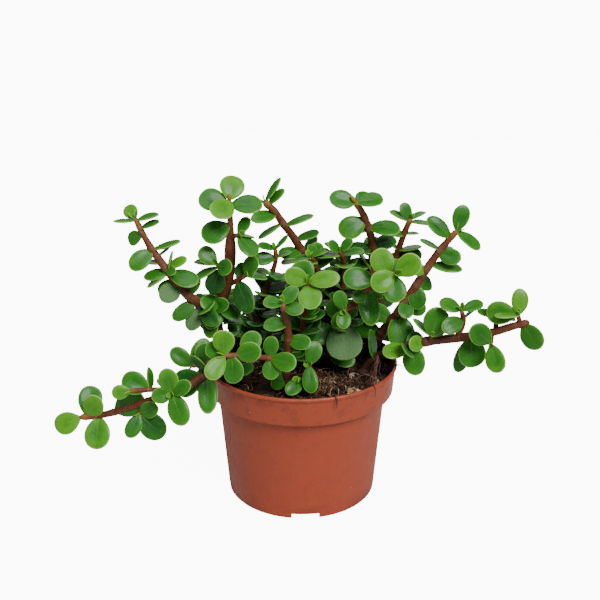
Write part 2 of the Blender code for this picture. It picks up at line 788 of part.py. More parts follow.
class Stem:
    """A shoot's smooth centre line as stations."""

    def __init__(self, shoot):
        self.shoot = shoot
        places = [
            span + step / STATIONS_PER_SPAN
            for span in range(len(shoot.route) - 1)
            for step in range(STATIONS_PER_SPAN)
        ] + [len(shoot.route) - 1.0]
        points = [self.route_point(place) for place in places]
        if shoot.rooted:
            down = (points[0] - points[1]).normalized()
            points = [points[0] + down * ROOT_DEPTH] + points
            places = [-1.0] + places
        lengths = [0.0]
        for a, b in zip(points, points[1:]):
            lengths.append(lengths[-1] + (b - a).length)
        across = Vector((0, -1, 0))
        self.stations = []
        for number, point in enumerate(points):
            before, after = points[max(number - 1, 0)], points[min(number + 1, len(points) - 1)]
            along = (after - before).normalized()
            across = (across - along * across.dot(along)).normalized()
            share = lengths[number] / lengths[-1]
            girth = numpy.interp(share, numpy.linspace(0, 1, len(shoot.girth)), shoot.girth)
            self.stations.append(Station(point, along, across, float(girth) / 2, places[number]))
        self.lengths = lengths

    def route_point(self, place):
        """A point on the smooth curve through the route's points."""
        route = [Vector(point) for point in self.shoot.route]
        span = min(int(place), len(route) - 2)
        share = place - span
        b, c = route[span], route[span + 1]
        a = route[span - 1] if span else 2 * b - c
        d = route[span + 2] if span + 2 < len(route) else 2 * c - b
        bend = 2 * a - 5 * b + 4 * c - d
        twist = 3 * b - a - 3 * c + d
        return 0.5 * (2 * b + (c - a) * share + bend * share**2 + twist * share**3)

    def at(self, place):
        return min(self.stations, key=lambda station: abs(station.place - place))

    def rings(self):
        """As few stations as keep the straight runs between them close to the curve."""
        kept = [0]
        for number in range(2, len(self.stations)):
            start = self.stations[kept[-1]].point
            run = (self.stations[number].point - start).normalized()
            between = self.stations[kept[-1] + 1 : number]
            off = max((station.point - start).cross(run).length for station in between)
            if off > CURVE_TOLERANCE or self.lengths[number] - self.lengths[kept[-1]] > LONGEST_RUN:
                kept.append(number - 1)
        kept.append(len(self.stations) - 1)
        return [self.stations[number] for number in kept]

    def tube(self):
        """The stem as a closed tube that narrows into its bud."""
        rings = self.rings()
        sides = STEM_SIDES if self.shoot.rooted else SHOOT_SIDES
        bm = bmesh.new()
        bmesh.ops.create_cone(
            bm,
            cap_ends=True,
            segments=sides,
            radius1=rings[0].radius,
            radius2=rings[0].radius,
            depth=END_DEPTH,
            matrix=rings[0].matrix(),
        )
        top = max(bm.faces, key=lambda face: face.calc_center_median().dot(rings[0].along))
        for before, after in zip(rings, rings[1:]):
            size = after.radius / before.radius
            if after is rings[-1]:
                size *= BUD_SHARE
            top = bmesh.ops.extrude_discrete_faces(bm, faces=[top])["faces"][0]
            move = after.matrix() @ Matrix.Scale(size, 4) @ before.matrix().inverted()
            bmesh.ops.transform(bm, matrix=move, verts=top.verts)
        return bm


@dataclass(frozen=True)
class Blade:
    """One leaf: where it starts, the way it points, the way its upper face looks, and its form."""

    base: Vector
    along: Vector
    up: Vector
    length: float
    width: float
    wedge: float
    fold: float
    curl: float

    def nudged(self, pitch, yaw, roll, size):
        """The same leaf turned a little about its own axes, in degrees, and scaled."""
        side = self.along.cross(self.up)
        turn = (
            Quaternion(side, math.radians(pitch))
            @ Quaternion(self.up, math.radians(yaw))
            @ Quaternion(self.along, math.radians(roll))
        )
        return replace(
            self,
            along=turn @ self.along,
            up=turn @ self.up,
            length=self.length * size,
            width=self.width * size,
        )

    def fullness(self, along):
        """The share of an oval's width that the leaf has here: a narrow neck, then a round blade."""
        steps = numpy.linspace(0, 1, 41)
        oval = numpy.sqrt(1 - (2 * steps - 1) ** 2)

        def narrowed(share):
            return (1 - (1 - share) ** NECK) * share**self.wedge

        return narrowed(along) / (oval * narrowed(steps)).max()

    def shaped(self, sphere, margin=0.0):
        """Points of a unit ball (x across, y along, z up) pushed into the form of this leaf."""
        along = numpy.clip((sphere[:, 1] + 1) / 2, 0, 1)
        across = sphere[:, 0] * (self.width / 2 + margin) * self.fullness(along)
        reach = along * (self.length + margin)
        rise = sphere[:, 2] * (LEAF_THICKNESS * self.length / 2 + margin)
        rise += (numpy.hypot(across, SOFT_FOLD) - SOFT_FOLD) * math.tan(math.radians(self.fold))
        rise += self.curl * self.length * along**2
        side = self.along.cross(self.up)
        frame = numpy.array([tuple(side), tuple(self.along), tuple(self.up)])
        return numpy.stack([across, reach, rise], axis=1) @ frame + numpy.array(tuple(self.base))


def unit_ball(sides, rings):
    """Its points and faces."""
    bm = bmesh.new()
    bmesh.ops.create_uvsphere(bm, u_segments=sides, v_segments=rings, radius=1)
    points = numpy.array([tuple(vert.co) for vert in bm.verts])
    faces = [[vert.index for vert in face.verts] for face in bm.faces]
    bm.free()
    return points, faces


def nudges():
    """Small turns and scales to try, the least change first."""
    found = [
        (pitch, yaw, roll, size)
        for pitch in (0, -10, 10, -20, 20, -32, 32)
        for yaw in (0, -10, 10, -20, 20)
        for roll in (0, -20, 20)
        for size in (1.0, 0.9, 0.8)
    ]
    return sorted(found, key=lambda n: (abs(n[0]) + abs(n[1]) + abs(n[2]) / 2 + 150 * (1 - n[3]), n))[:110]


@dataclass(frozen=True)
class Taken:
    """Space already used: a sphere about it, and its surface without and with its root."""

    middle: Vector
    radius: float
    outer: BVHTree
    whole: BVHTree
    stem: Stem
    is_leaf: bool


class Crown:
    """Settles leaves one by one, each clear of the pot, the soil, and the stems and leaves before it."""

    def __init__(self, stems):
        self.sphere, self.faces = unit_ball(TEST_SIDES, TEST_RINGS)
        self.past_root = (self.sphere[:, 1] + 1) / 2 > ROOT_SHARE
        self.outer_faces = [face for face in self.faces if all(self.past_root[corner] for corner in face)]
        self.nudges = nudges()
        self.taken = [run for stem in stems for run in self.stem_runs(stem)]

    def stem_runs(self, stem):
        for a, b in zip(stem.stations, stem.stations[1:]):
            corners = [
                station.corner(math.tau * side / STEM_SIDES)
                for station in (a, b)
                for side in range(STEM_SIDES)
            ]
            faces = [
                (side, (side + 1) % STEM_SIDES, STEM_SIDES + (side + 1) % STEM_SIDES, STEM_SIDES + side)
                for side in range(STEM_SIDES)
            ]
            tree = BVHTree.FromPolygons(corners, faces)
            reach = (a.point - b.point).length / 2 + a.radius
            yield Taken((a.point + b.point) / 2, reach, tree, tree, stem, False)

    def space(self, blade, stem, margin):
        """The leaf's points past its root, and the space that it takes."""
        points = blade.shaped(self.sphere, margin)
        middle = points.mean(axis=0)
        radius = float(numpy.linalg.norm(points - middle, axis=1).max())
        outer = BVHTree.FromPolygons(points.tolist(), self.outer_faces)
        whole = BVHTree.FromPolygons(points.tolist(), self.faces)
        return points[self.past_root], Taken(Vector(middle), radius, outer, whole, stem, True)

    def meets(self, blade, stem, margin):
        points, space = self.space(blade, stem, margin)
        out = numpy.hypot(points[:, 0], points[:, 1])
        floor = numpy.where(out < INSIDE_RIM, OVER_THE_SOIL, OVER_THE_RIM)
        if ((out < CLEAR_OF_RIM) & (points[:, 2] < floor)).any():
            return True
        for other in self.taken:
            if (space.middle - other.middle).length > space.radius + other.radius:
                continue
            if other.stem.shoot.cutting != stem.shoot.cutting:
                if space.whole.overlap(other.whole):
                    return True
            elif (other.is_leaf or other.stem is not stem) and space.outer.overlap(other.outer):
                return True
        return False

    def settle(self, blade, stem, margin):
        """The leaf, nudged clear of what is already there, or None where there is no room."""
        for nudge in self.nudges:
            trial = blade.nudged(*nudge)
            if not self.meets(trial, stem, margin):
                self.taken.append(self.space(trial, stem, 0)[1])
                return trial
        return None


def rooted_blade(station, along, up, length, width, draw):
    """A leaf that shows this length outside its stem and starts well inside it."""
    base = station.point - (along * LEAF_START + station.along * NODE_START) * station.radius
    length += station.radius * (1 + LEAF_START)
    form = draw.uniform(*OUTLINE_WEDGE), draw.uniform(*LEAF_FOLD), draw.uniform(*LEAF_CURL)
    return Blade(base, along, up, length, width, *form)


def seen_leaf(stem, row, draw):
    """A leaf from a table row."""
    place, heading, lean, length, width, turn, _ = row
    heading, lean, turn = math.radians(heading), math.radians(lean), math.radians(turn)
    flat = math.cos(heading) * VIEW_RIGHT + math.sin(heading) * VIEW_UP
    along = math.cos(lean) * flat + math.sin(lean) * VIEW_TOWARDS
    facing = (VIEW_TOWARDS - along * VIEW_TOWARDS.dot(along)).normalized()
    skyward = along.cross(facing)
    if 2 * skyward.z + skyward.x < 0:
        skyward.negate()
    up = math.cos(turn) * facing + math.sin(turn) * skyward
    return rooted_blade(stem.at(place), along, up, length, width, draw)


def mate(blade, stem, place, draw):
    """The other leaf of a pair, across the stem."""
    station = stem.at(place)
    turn = Quaternion(station.along, math.pi)
    length = blade.length - station.radius * (1 + LEAF_START)
    return rooted_blade(station, turn @ blade.along, turn @ blade.up, length, blade.width, draw)


def ruled_leaves(stem, draw):
    """Pairs that stand crosswise to the pair before, spread wide near the root and close at the tip."""
    if not stem.shoot.pairs:
        return
    first, last, number, first_length, last_length, first_roll = stem.shoot.pairs
    for pair in range(number):
        share = pair / (number - 1)
        place = first + (last - first) * share
        station = stem.at(place)
        closeness = place / (len(stem.shoot.route) - 1)
        spread = math.radians(SPREAD_AT_ROOT + (SPREAD_AT_TIP - SPREAD_AT_ROOT) * closeness)
        length = first_length + (last_length - first_length) * share
        roll = math.radians(first_roll + 90 * pair + draw.uniform(-14, 14))
        for side in (0, math.pi):
            out = Quaternion(station.along, roll + side) @ station.across
            lean = spread + math.radians(draw.uniform(-8, 8))
            along = math.sin(lean) * out + math.cos(lean) * station.along
            up = station.along + 0.45 * Vector((0, 0, 1))
            up = (up - along * up.dot(along)).normalized()
            size = length * draw.uniform(0.86, 1.08)
            width = size * draw.uniform(0.78, 0.92)
            yield rooted_blade(station, along, up, size, width, draw)


def grow(stems):
    """Every leaf as (stem, blade, sides). Those that show settle first, then their mates, then the rest."""
    crown = Crown(stems)
    draw = random.Random(SEED)
    grown = []
    mates = []
    for stem in stems:
        for row in stem.shoot.leaves:
            blade = crown.settle(seen_leaf(stem, row, draw), stem, SEEN_CLEARANCE)
            if not blade:
                continue
            grown.append((stem, blade, LEAF_SIDES_LARGE if row[3] > LARGE_LEAF else LEAF_SIDES))
            if row[-1]:
                mates.append((stem, mate(blade, stem, row[0], draw)))
    for stem in stems:
        mates.extend((stem, blade) for blade in ruled_leaves(stem, draw))
    for stem, wanted in mates:
        blade = crown.settle(wanted, stem, CLEARANCE)
        if blade:
            grown.append((stem, blade, LEAF_SIDES_INSIDE))
    return grown


def leaf_mesh(blade, sides):
    """A thin faceted leaf whose outline has this many corners."""
    bm = bmesh.new()
    bmesh.ops.create_uvsphere(bm, u_segments=sides, v_segments=2, radius=1)
    shape = numpy.array([tuple(vert.co) for vert in bm.verts])
    for vert, point in zip(bm.verts, blade.shaped(shape)):
        vert.co = point
    return bm


def cutting(name, stems, grown, material):
    """A rooted stem, its side shoots and its leaves as one solid."""
    own = [stem for stem in stems if stem.shoot.cutting == name]
    made = placed(name, own[0].tube(), material)
    parts = helpers(name + "_parts")
    for number, stem in enumerate(own[1:]):
        placed(f"{name}_shoot_{number}", stem.tube(), collection=parts)
    for number, (stem, blade, sides) in enumerate(grown):
        if stem in own:
            placed(f"{name}_leaf_{number}", leaf_mesh(blade, sides), collection=parts)
    combine(made, "UNION", parts)


def main():
    clear_scene()
    stems = [Stem(shoot) for shoot in SHOOTS]
    pot()
    soil([stem for stem in stems if stem.shoot.rooted])
    grown = grow(stems)
    for name in dict.fromkeys(shoot.cutting for shoot in SHOOTS):
        cutting(name, stems, grown, plain_material(name + "_green", GREEN, 0.4))


main()
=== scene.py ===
"""Potted elephant bush: the finished looks of its plastic pot, its soil and its sixteen cuttings.

Laid out as an add-on. The tables hold millimetres and degrees, as the part's source does, and MM
turns them into metres. The origin is on the pot's axis, on the surface that the pot stands on. The
front looks along -Y. A leaf's heading is the way it points as seen from the front, from 20 degrees
above level: 0 is right and 90 is up.
"""

import json
import math
import random
from dataclasses import dataclass, replace

import bmesh
import bpy
import numpy
from mathutils import Matrix, Quaternion, Vector, noise
from mathutils.bvhtree import BVHTree

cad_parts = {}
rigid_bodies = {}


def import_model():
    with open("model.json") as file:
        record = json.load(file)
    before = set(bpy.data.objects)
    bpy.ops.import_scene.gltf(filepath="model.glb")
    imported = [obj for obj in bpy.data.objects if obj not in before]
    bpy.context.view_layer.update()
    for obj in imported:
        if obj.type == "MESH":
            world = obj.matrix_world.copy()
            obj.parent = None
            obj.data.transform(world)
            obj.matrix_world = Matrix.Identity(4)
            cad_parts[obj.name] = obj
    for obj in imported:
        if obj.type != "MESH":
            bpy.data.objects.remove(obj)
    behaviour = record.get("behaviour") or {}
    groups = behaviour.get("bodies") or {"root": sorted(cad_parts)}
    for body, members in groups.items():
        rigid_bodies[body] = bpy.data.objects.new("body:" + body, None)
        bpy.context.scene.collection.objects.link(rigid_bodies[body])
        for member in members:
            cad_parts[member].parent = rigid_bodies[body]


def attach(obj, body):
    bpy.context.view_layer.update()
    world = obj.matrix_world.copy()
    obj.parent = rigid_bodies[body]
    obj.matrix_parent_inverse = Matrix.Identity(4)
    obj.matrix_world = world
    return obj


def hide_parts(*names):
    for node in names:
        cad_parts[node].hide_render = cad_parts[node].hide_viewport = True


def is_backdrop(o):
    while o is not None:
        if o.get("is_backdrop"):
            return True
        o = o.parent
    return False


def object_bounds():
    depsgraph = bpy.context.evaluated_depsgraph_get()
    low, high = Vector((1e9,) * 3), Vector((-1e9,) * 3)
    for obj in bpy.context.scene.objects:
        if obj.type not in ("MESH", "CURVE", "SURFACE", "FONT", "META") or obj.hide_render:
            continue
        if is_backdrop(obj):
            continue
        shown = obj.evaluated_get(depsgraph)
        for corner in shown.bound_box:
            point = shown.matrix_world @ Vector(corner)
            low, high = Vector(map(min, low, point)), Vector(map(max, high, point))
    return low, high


bl_info = {
    "name": "Potted elephant bush",
    "version": (1, 0, 0),
    "blender": (4, 5, 0),
    "location": "3D View > Sidebar > Elephant Bush",
    "description": "Dresses the packed solids of a potted elephant bush",
    "category": "Object",
}

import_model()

MM = 0.001
GAP = 0.3  # left between pieces that touch

# Pot
POT_HEIGHT = 87.0
RIM_RADIUS = 60.0
LIP_WIDTH = 1.5
LIP_HEIGHT = 2.3
COLLAR_RADIUS = 59.0  # under the lip
COLLAR_FOOT_RADIUS = 57.7
COLLAR_FOOT_HEIGHT = 68.5
BODY_TOP_RADIUS = 52.7
FOOT_RADIUS = 47.1
WALL = 1.2
EDGE = 0.6  # the slope that stands for a rounded edge
SHELF_HEIGHT = 69.0  # where the inside widens into the collar
FLOOR_RADIUS = 45.5
BASE_UNDERSIDE = 4.0
FOOT_RING_WIDTH = 2.2
NOTCH_WIDTH = 17.0
NOTCH_HEIGHT = 3.4
NOTCH_TURN = 3.0  # degrees from the front towards +X
DRAIN_HOLES = 8
DRAIN_HOLE_RADIUS = 3.5
DRAIN_HOLE_STEPS = 24
DRAIN_CIRCLE_RADIUS = 34.0
MOULDED_ANGLE = math.radians(32)  # edges sharper than this are rounded

# Soil
SOIL_EDGE_HEIGHT = 79.0
SOIL_MOUND = 3.0
SOIL_LUMP = 0.9
SOIL_LUMP_SPACING = 9.0
SOIL_RADIUS = 56.8
SOIL_STEPS = 120
SOIL_RINGS = 30
CRUMB_SPACING = 2.6
CRUMB_SHARE = 0.55  # of the crumb height, the rest is pits
PIT_SPACING = 5.0
PIT_SHARE = 0.45
CHIP_REACH = 55.0
CHIP_SIZE = (0.7, 2.6)  # the smallest, and how much larger the largest is
CHIP_FORM = ((0.5, 1.0), (0.3, 0.8), (0.2, 0.5))  # of the size, along, across and up
CHIP_TILT = 0.7
CHIP_SEAT = (0.2, 0.25)  # its middle above the soil, and what its size adds to that
FIBRE_REACH = 54.0
FIBRE_LIMIT = 56.0  # no fibre on the soil goes further out
FIBRE_STEPS = 7
FIBRE_WANDER = 0.7
FIBRE_SEAT = 0.6
FIBRE_DIP = -0.3
FIBRE_TAPER = 0.45
DARK_FIBRES = ((4, 15), (0.15, 0.40), 3.6, 2.6)  # lengths, radii, lift and curl
PALE_FIBRES = ((3, 9), (0.12, 0.30), 2.5, 3.0)
NOISE_SPAN = 90  # random offsets into the noise lie within this

# Fibres that hang over the lip, as the radius at the start and the points on the way
LIP_FIBRE_TAPER = 0.12  # from one point to the next
LIP_FIBRES = (
    (0.42, ((18, -49, 84), (19, -54.6, 88.2), (19.7, -57.4, 88), (20, -58.2, 84.5),
            (20.3, -57.6, 80.5))),
    (0.30, ((21, -48, 83), (20.4, -54, 88), (20.2, -57.2, 88), (20.6, -58, 83.4))),
    (0.34, ((40, -37, 84), (42, -41, 88.2), (43, -42.9, 88), (43.6, -43.6, 84.5), (43, -43, 81))),
    (0.30, ((54, -9, 84), (58.5, -10.4, 88.4), (62, -10.8, 88.2), (63.2, -10.8, 84.6))),
    (0.24, ((53, -12, 84), (58.5, -12.4, 88.2), (61, -12.8, 88.4), (61.6, -13.6, 85.6))),
    (0.24, ((16, -30, 84), (12, -36, 87), (6, -41, 88), (0, -45, 86.5), (-5, -48, 83.5))),
    (0.28, ((20, -34, 85), (26, -38, 88), (31, -42, 88), (35, -44, 85.5), (38, -45, 83))),
)

# The tuft of fine roots that hangs from the foot of the right stem to the soil
TUFT_TOP = (46, -21, 98)
TUFT_FOOT = (43.6, -35.5, 84.5)
TUFT_ROOTS = 12
TUFT_SPREAD = ((-5, 5), (-3, 3), (-1, 1))
TUFT_RADIUS = (0.2, 0.5)
TUFT_TAPER = 0.4
TUFT_WAVE = 13.0

# The heap of pale shavings, the brown shreds about it and the beige lump by the lip: their middles
# and how far they reach
SHAVINGS_HEAP = ((15, -27), (9, 13))
SHREDS_HEAP = ((22, -31), (24, 16))
SHAVING_LENGTH = (2.5, 7.5)
SHAVING_RADIUS = (0.2, 0.65)
SHAVING_LIFT = 3.4
SHAVING_CURL = 3.0
LUMP_MIDDLE = (31, -38.5)
LUMP_REACH = 4.0
LUMP_HEIGHT = 3.2
LUMP_RISE = 2.0
LUMP_CHIPS = 48
LUMP_CHIP_SIZE = (0.6, 1.8)

# Stems
STEM_SIDES = 6  # of the tube that leaves settle clear of
STATIONS_PER_SPAN = 6
ROOT_DEPTH = 14.0
BUD_SHARE = 0.55  # the girth of a stem's end against its tip
END_DEPTH = 0.02  # the flat piece that a stem is extruded from
KNOT_REACH = 0.13  # how far a swelling reaches, as a place on the route
UNEVENNESS = 0.06  # of the girth
UNEVEN_SPACING = 5.0
SIDE_SHOOT_AGE = (0.45, 0.55)  # at its root, and what its tip adds
CUT_STEM_AGE = 0.7
BARK_SLOT = 1  # among a cutting's materials, after the leaf

# Leaves
LEAF_THICKNESS = 0.135  # of the length
LEAF_START = 0.45  # of the stem's radius, behind the stem's centre line
NODE_START = 0.5  # of the stem's radius, below the node
SOFT_FOLD = 0.8  # the radius of the fold along the midrib
OUTLINE_WEDGE = (0.05, 0.32)
NECK = 9  # the higher, the shorter a leaf's neck
LEAF_FOLD = (2.0, 16.0)
LEAF_CURL = (-0.10, 0.06)
SPREAD_AT_TIP = 48.0
SPREAD_AT_ROOT = 76.0
SEEN_CLEARANCE = 0.12
CLEARANCE = 0.35
TEST_SIDES = 8
TEST_RINGS = 4
ROOT_SHARE = 0.3  # the part of a leaf that may cross its neighbours at the node
OVER_THE_RIM = 88.3
OVER_THE_SOIL = 84.3
CLEAR_OF_RIM = 61.4
INSIDE_RIM = 55.5
SKYWARD = 0.45  # how far a leaf that grows by rule turns its face up
ROLL_SCATTER = (-14, 14)
LEAN_SCATTER = (-8, 8)
SIZE_SCATTER = (0.86, 1.08)
WIDTH_SCATTER = (0.78, 0.92)
SKEW = 0.05  # of the width, to one side
WAVE = 0.022  # of the length, round the edge
NUDGES = 110
SHRINKING_COST = 150  # of a nudge that shrinks a leaf, in degrees for the whole leaf
CAGE_CELLS = 4
CAGE_HEIGHT = (0.34, 0.72)  # half the thickness at the edge, and what the middle adds
NECK_THICKNESS = (0.55, 0.45)  # at the base, and what the blade adds
SEED = 41

# The picture plane that headings are measured in
VIEW_TILT = math.radians(20)
VIEW_RIGHT = Vector((1, 0, 0))
VIEW_UP = Vector((0, math.sin(VIEW_TILT), math.cos(VIEW_TILT)))
VIEW_TOWARDS = Vector((0, -math.cos(VIEW_TILT), math.sin(VIEW_TILT)))

# Smoothing draws a cage in, so it starts larger by these factors. A stem's also gives it the
# girth that it has in the photo, where the faceted solid is slimmer.
CAGE_SWELL = 1.042
TUBE_SWELL = 1.17

# Leaf ages, from 0 for an old dark leaf to 1 for a young bright one. Below 0 a leaf is greyed by
# bloom. The table gives the leaves of an age by cutting, as (place, heading).
MIDDLE_AGE = 0.5
YOUNG = 0.95
FRESH = 0.75
OLD = 0.12
GREYED = -0.2
DEEP = 0.42
LEAF_AGES = {
    YOUNG: {
        "left_tall_stem": ((6.0, 80), (5.95, 238), (6, 128), (3.2, 24)),
        "left_trailing_stem": ((9, 203), (8.6, 54), (3, 184)),
        "front_creeping_stem": ((3, 93), (3, 235)),
        "centre_front_stem": ((4, 160), (4, 8), (3.85, 278)),
        "right_main_stem": ((5.4, 112), (6, 209), (6, 31)),
        "right_leaning_stem": ((4.5, 178),),
        "right_spreading_stem": ((2.3, 195), (3.0, 190), (1, 85), (1, 181)),
    },
    FRESH: {
        "left_trailing_stem": ((8.0, 269), (2, 102)),
        "right_spreading_stem": ((2, 282), (1, 173)),
        "right_main_stem": ((5.2, 300),),
    },
    OLD: {
        "left_tall_stem": ((0.6, 248), (1, 291), (1.3, 318)),
        "left_trailing_stem": ((3.0, 203), (2.4, 215), (1, 316)),
        "rear_bud_stem": ((4.0, 185), (4.0, 20)),
    },
    DEEP: {
        "left_tall_stem": ((5.2, 209), (1, 311)),
        "right_spreading_stem": ((4.5, 271), (1, 45)),
        "right_main_stem": ((3.7, 281), (0.6, 322)),
    },
    GREYED: {
        "left_tall_stem": ((2.5, 224), (1.2, 238)),
        "right_main_stem": ((2.2, 278),),
    },
}
# Leaves that grow by rule are younger the higher they stand and the further out: where their age
# starts to rise, and the way over which it would rise by 1
RULED_AGE = 0.12
RULED_AGE_HEIGHTS = (90, 170)
RULED_AGE_REACHES = (40, 140)
RULED_AGE_LIMITS = (0.08, 0.6)

# The two new leaves at the end of a shoot
TIP_AGE = 1.15
TIP_SPREAD = (18, 34)
TIP_LENGTH = (3.4, 5.2)
TIP_WIDTH = 0.72  # of the length
TIP_DEPTH = 1.2  # inside the stem
TIP_FORM = (0.3, 14.0, 0.05)

# Stems that end in a bare cut, and the width and length of the buds that end others
CUT_ENDS = ("right_spreading_stem",)
BUDS = {"rear_bud_stem": (4.0, 6.0), "left_tall_stem": (3.2, 4.2)}

# Extra leaves in the shaded middle of the crown
INNER_TRIES = 2500
INNER_CLEARANCE = 0.15
INNER_LEAN = (45, 85)
INNER_LENGTH = (9, 16)
INNER_WIDTH = (0.75, 0.92)  # of the length
# Low ages give the inner leaves the dark old colour: old leaves, partly painted shade in the middle
# of the crown.
INNER_AGE_AND_SHADE = (-0.02, 0.3)
INNER_MIDDLE = 0.6  # of the length, the point that has to be in the shade
SHADES = (((6, 12, 118), (46, 32, 38)), ((-45, 8, 108), (13, 13, 15)))  # middles and half sizes
OPEN_SOIL_DEPTH = -14
OPEN_SOIL_HEIGHT = 104

# Lesser colours
MOTE = (0.62, 0.36, 0.27)
BLEACHED = (0.66, 0.55, 0.42)
UNDERSIDE = (0.055, 0.155, 0.035)
# The colour of the pale dots on old leaves, partly painted glints of reflection.
LEAF_DOT_AND_GLINT = (0.45, 0.62, 0.30)
ROOT_COLOURS = ((0.17, 0.060, 0.034), (0.08, 0.030, 0.018))
BEIGE_COLOURS = ((0.68, 0.45, 0.26), (0.34, 0.15, 0.06))

# Stage, in metres: the camera, what the lights aim at, and each softbox's place and side
CAMERA_PLACE = (-0.00094, -0.5508, 0.3260)
CAMERA_TILT = math.radians(90 - 19.97)
LENS = 57.2
SENSOR = 36.0
AIM = (0, 0, 0.1)
MAIN_LIGHT_PLACE = (0.45, -0.75, 1.0)
SOFTBOXES = {
    "fill": ((-0.95, -0.45, 0.45), 0.8),
    "top": ((-0.15, -0.1, 1.0), 0.5),
    "rear": ((0.2, 1.1, 0.45), 1.0),
}


@dataclass(frozen=True)
class Shoot:
    """One stem or side shoot of a cutting.

    route: points, the first at the soil for a rooted stem and inside the parent for a side shoot.
    girth: diameters, evenly spread from the root to the tip.
    leaves: leaves that show, as (place along the route, heading, lean towards the viewer, length,
    width, turn of the upper face towards the sky), with a 1 after it where the other leaf of the
    pair grows by rule. Place 2.5 is halfway between the third and the fourth point.
    pairs: pairs that grow by rule, as (first place, last place, number, first length, last length,
    roll of the first).
    """

    cutting: str
    route: tuple
    girth: tuple
    leaves: tuple = ()
    pairs: tuple = ()
    rooted: bool = False


LEAF_ROW = ("place", "heading", "lean", "length", "width", "turn")

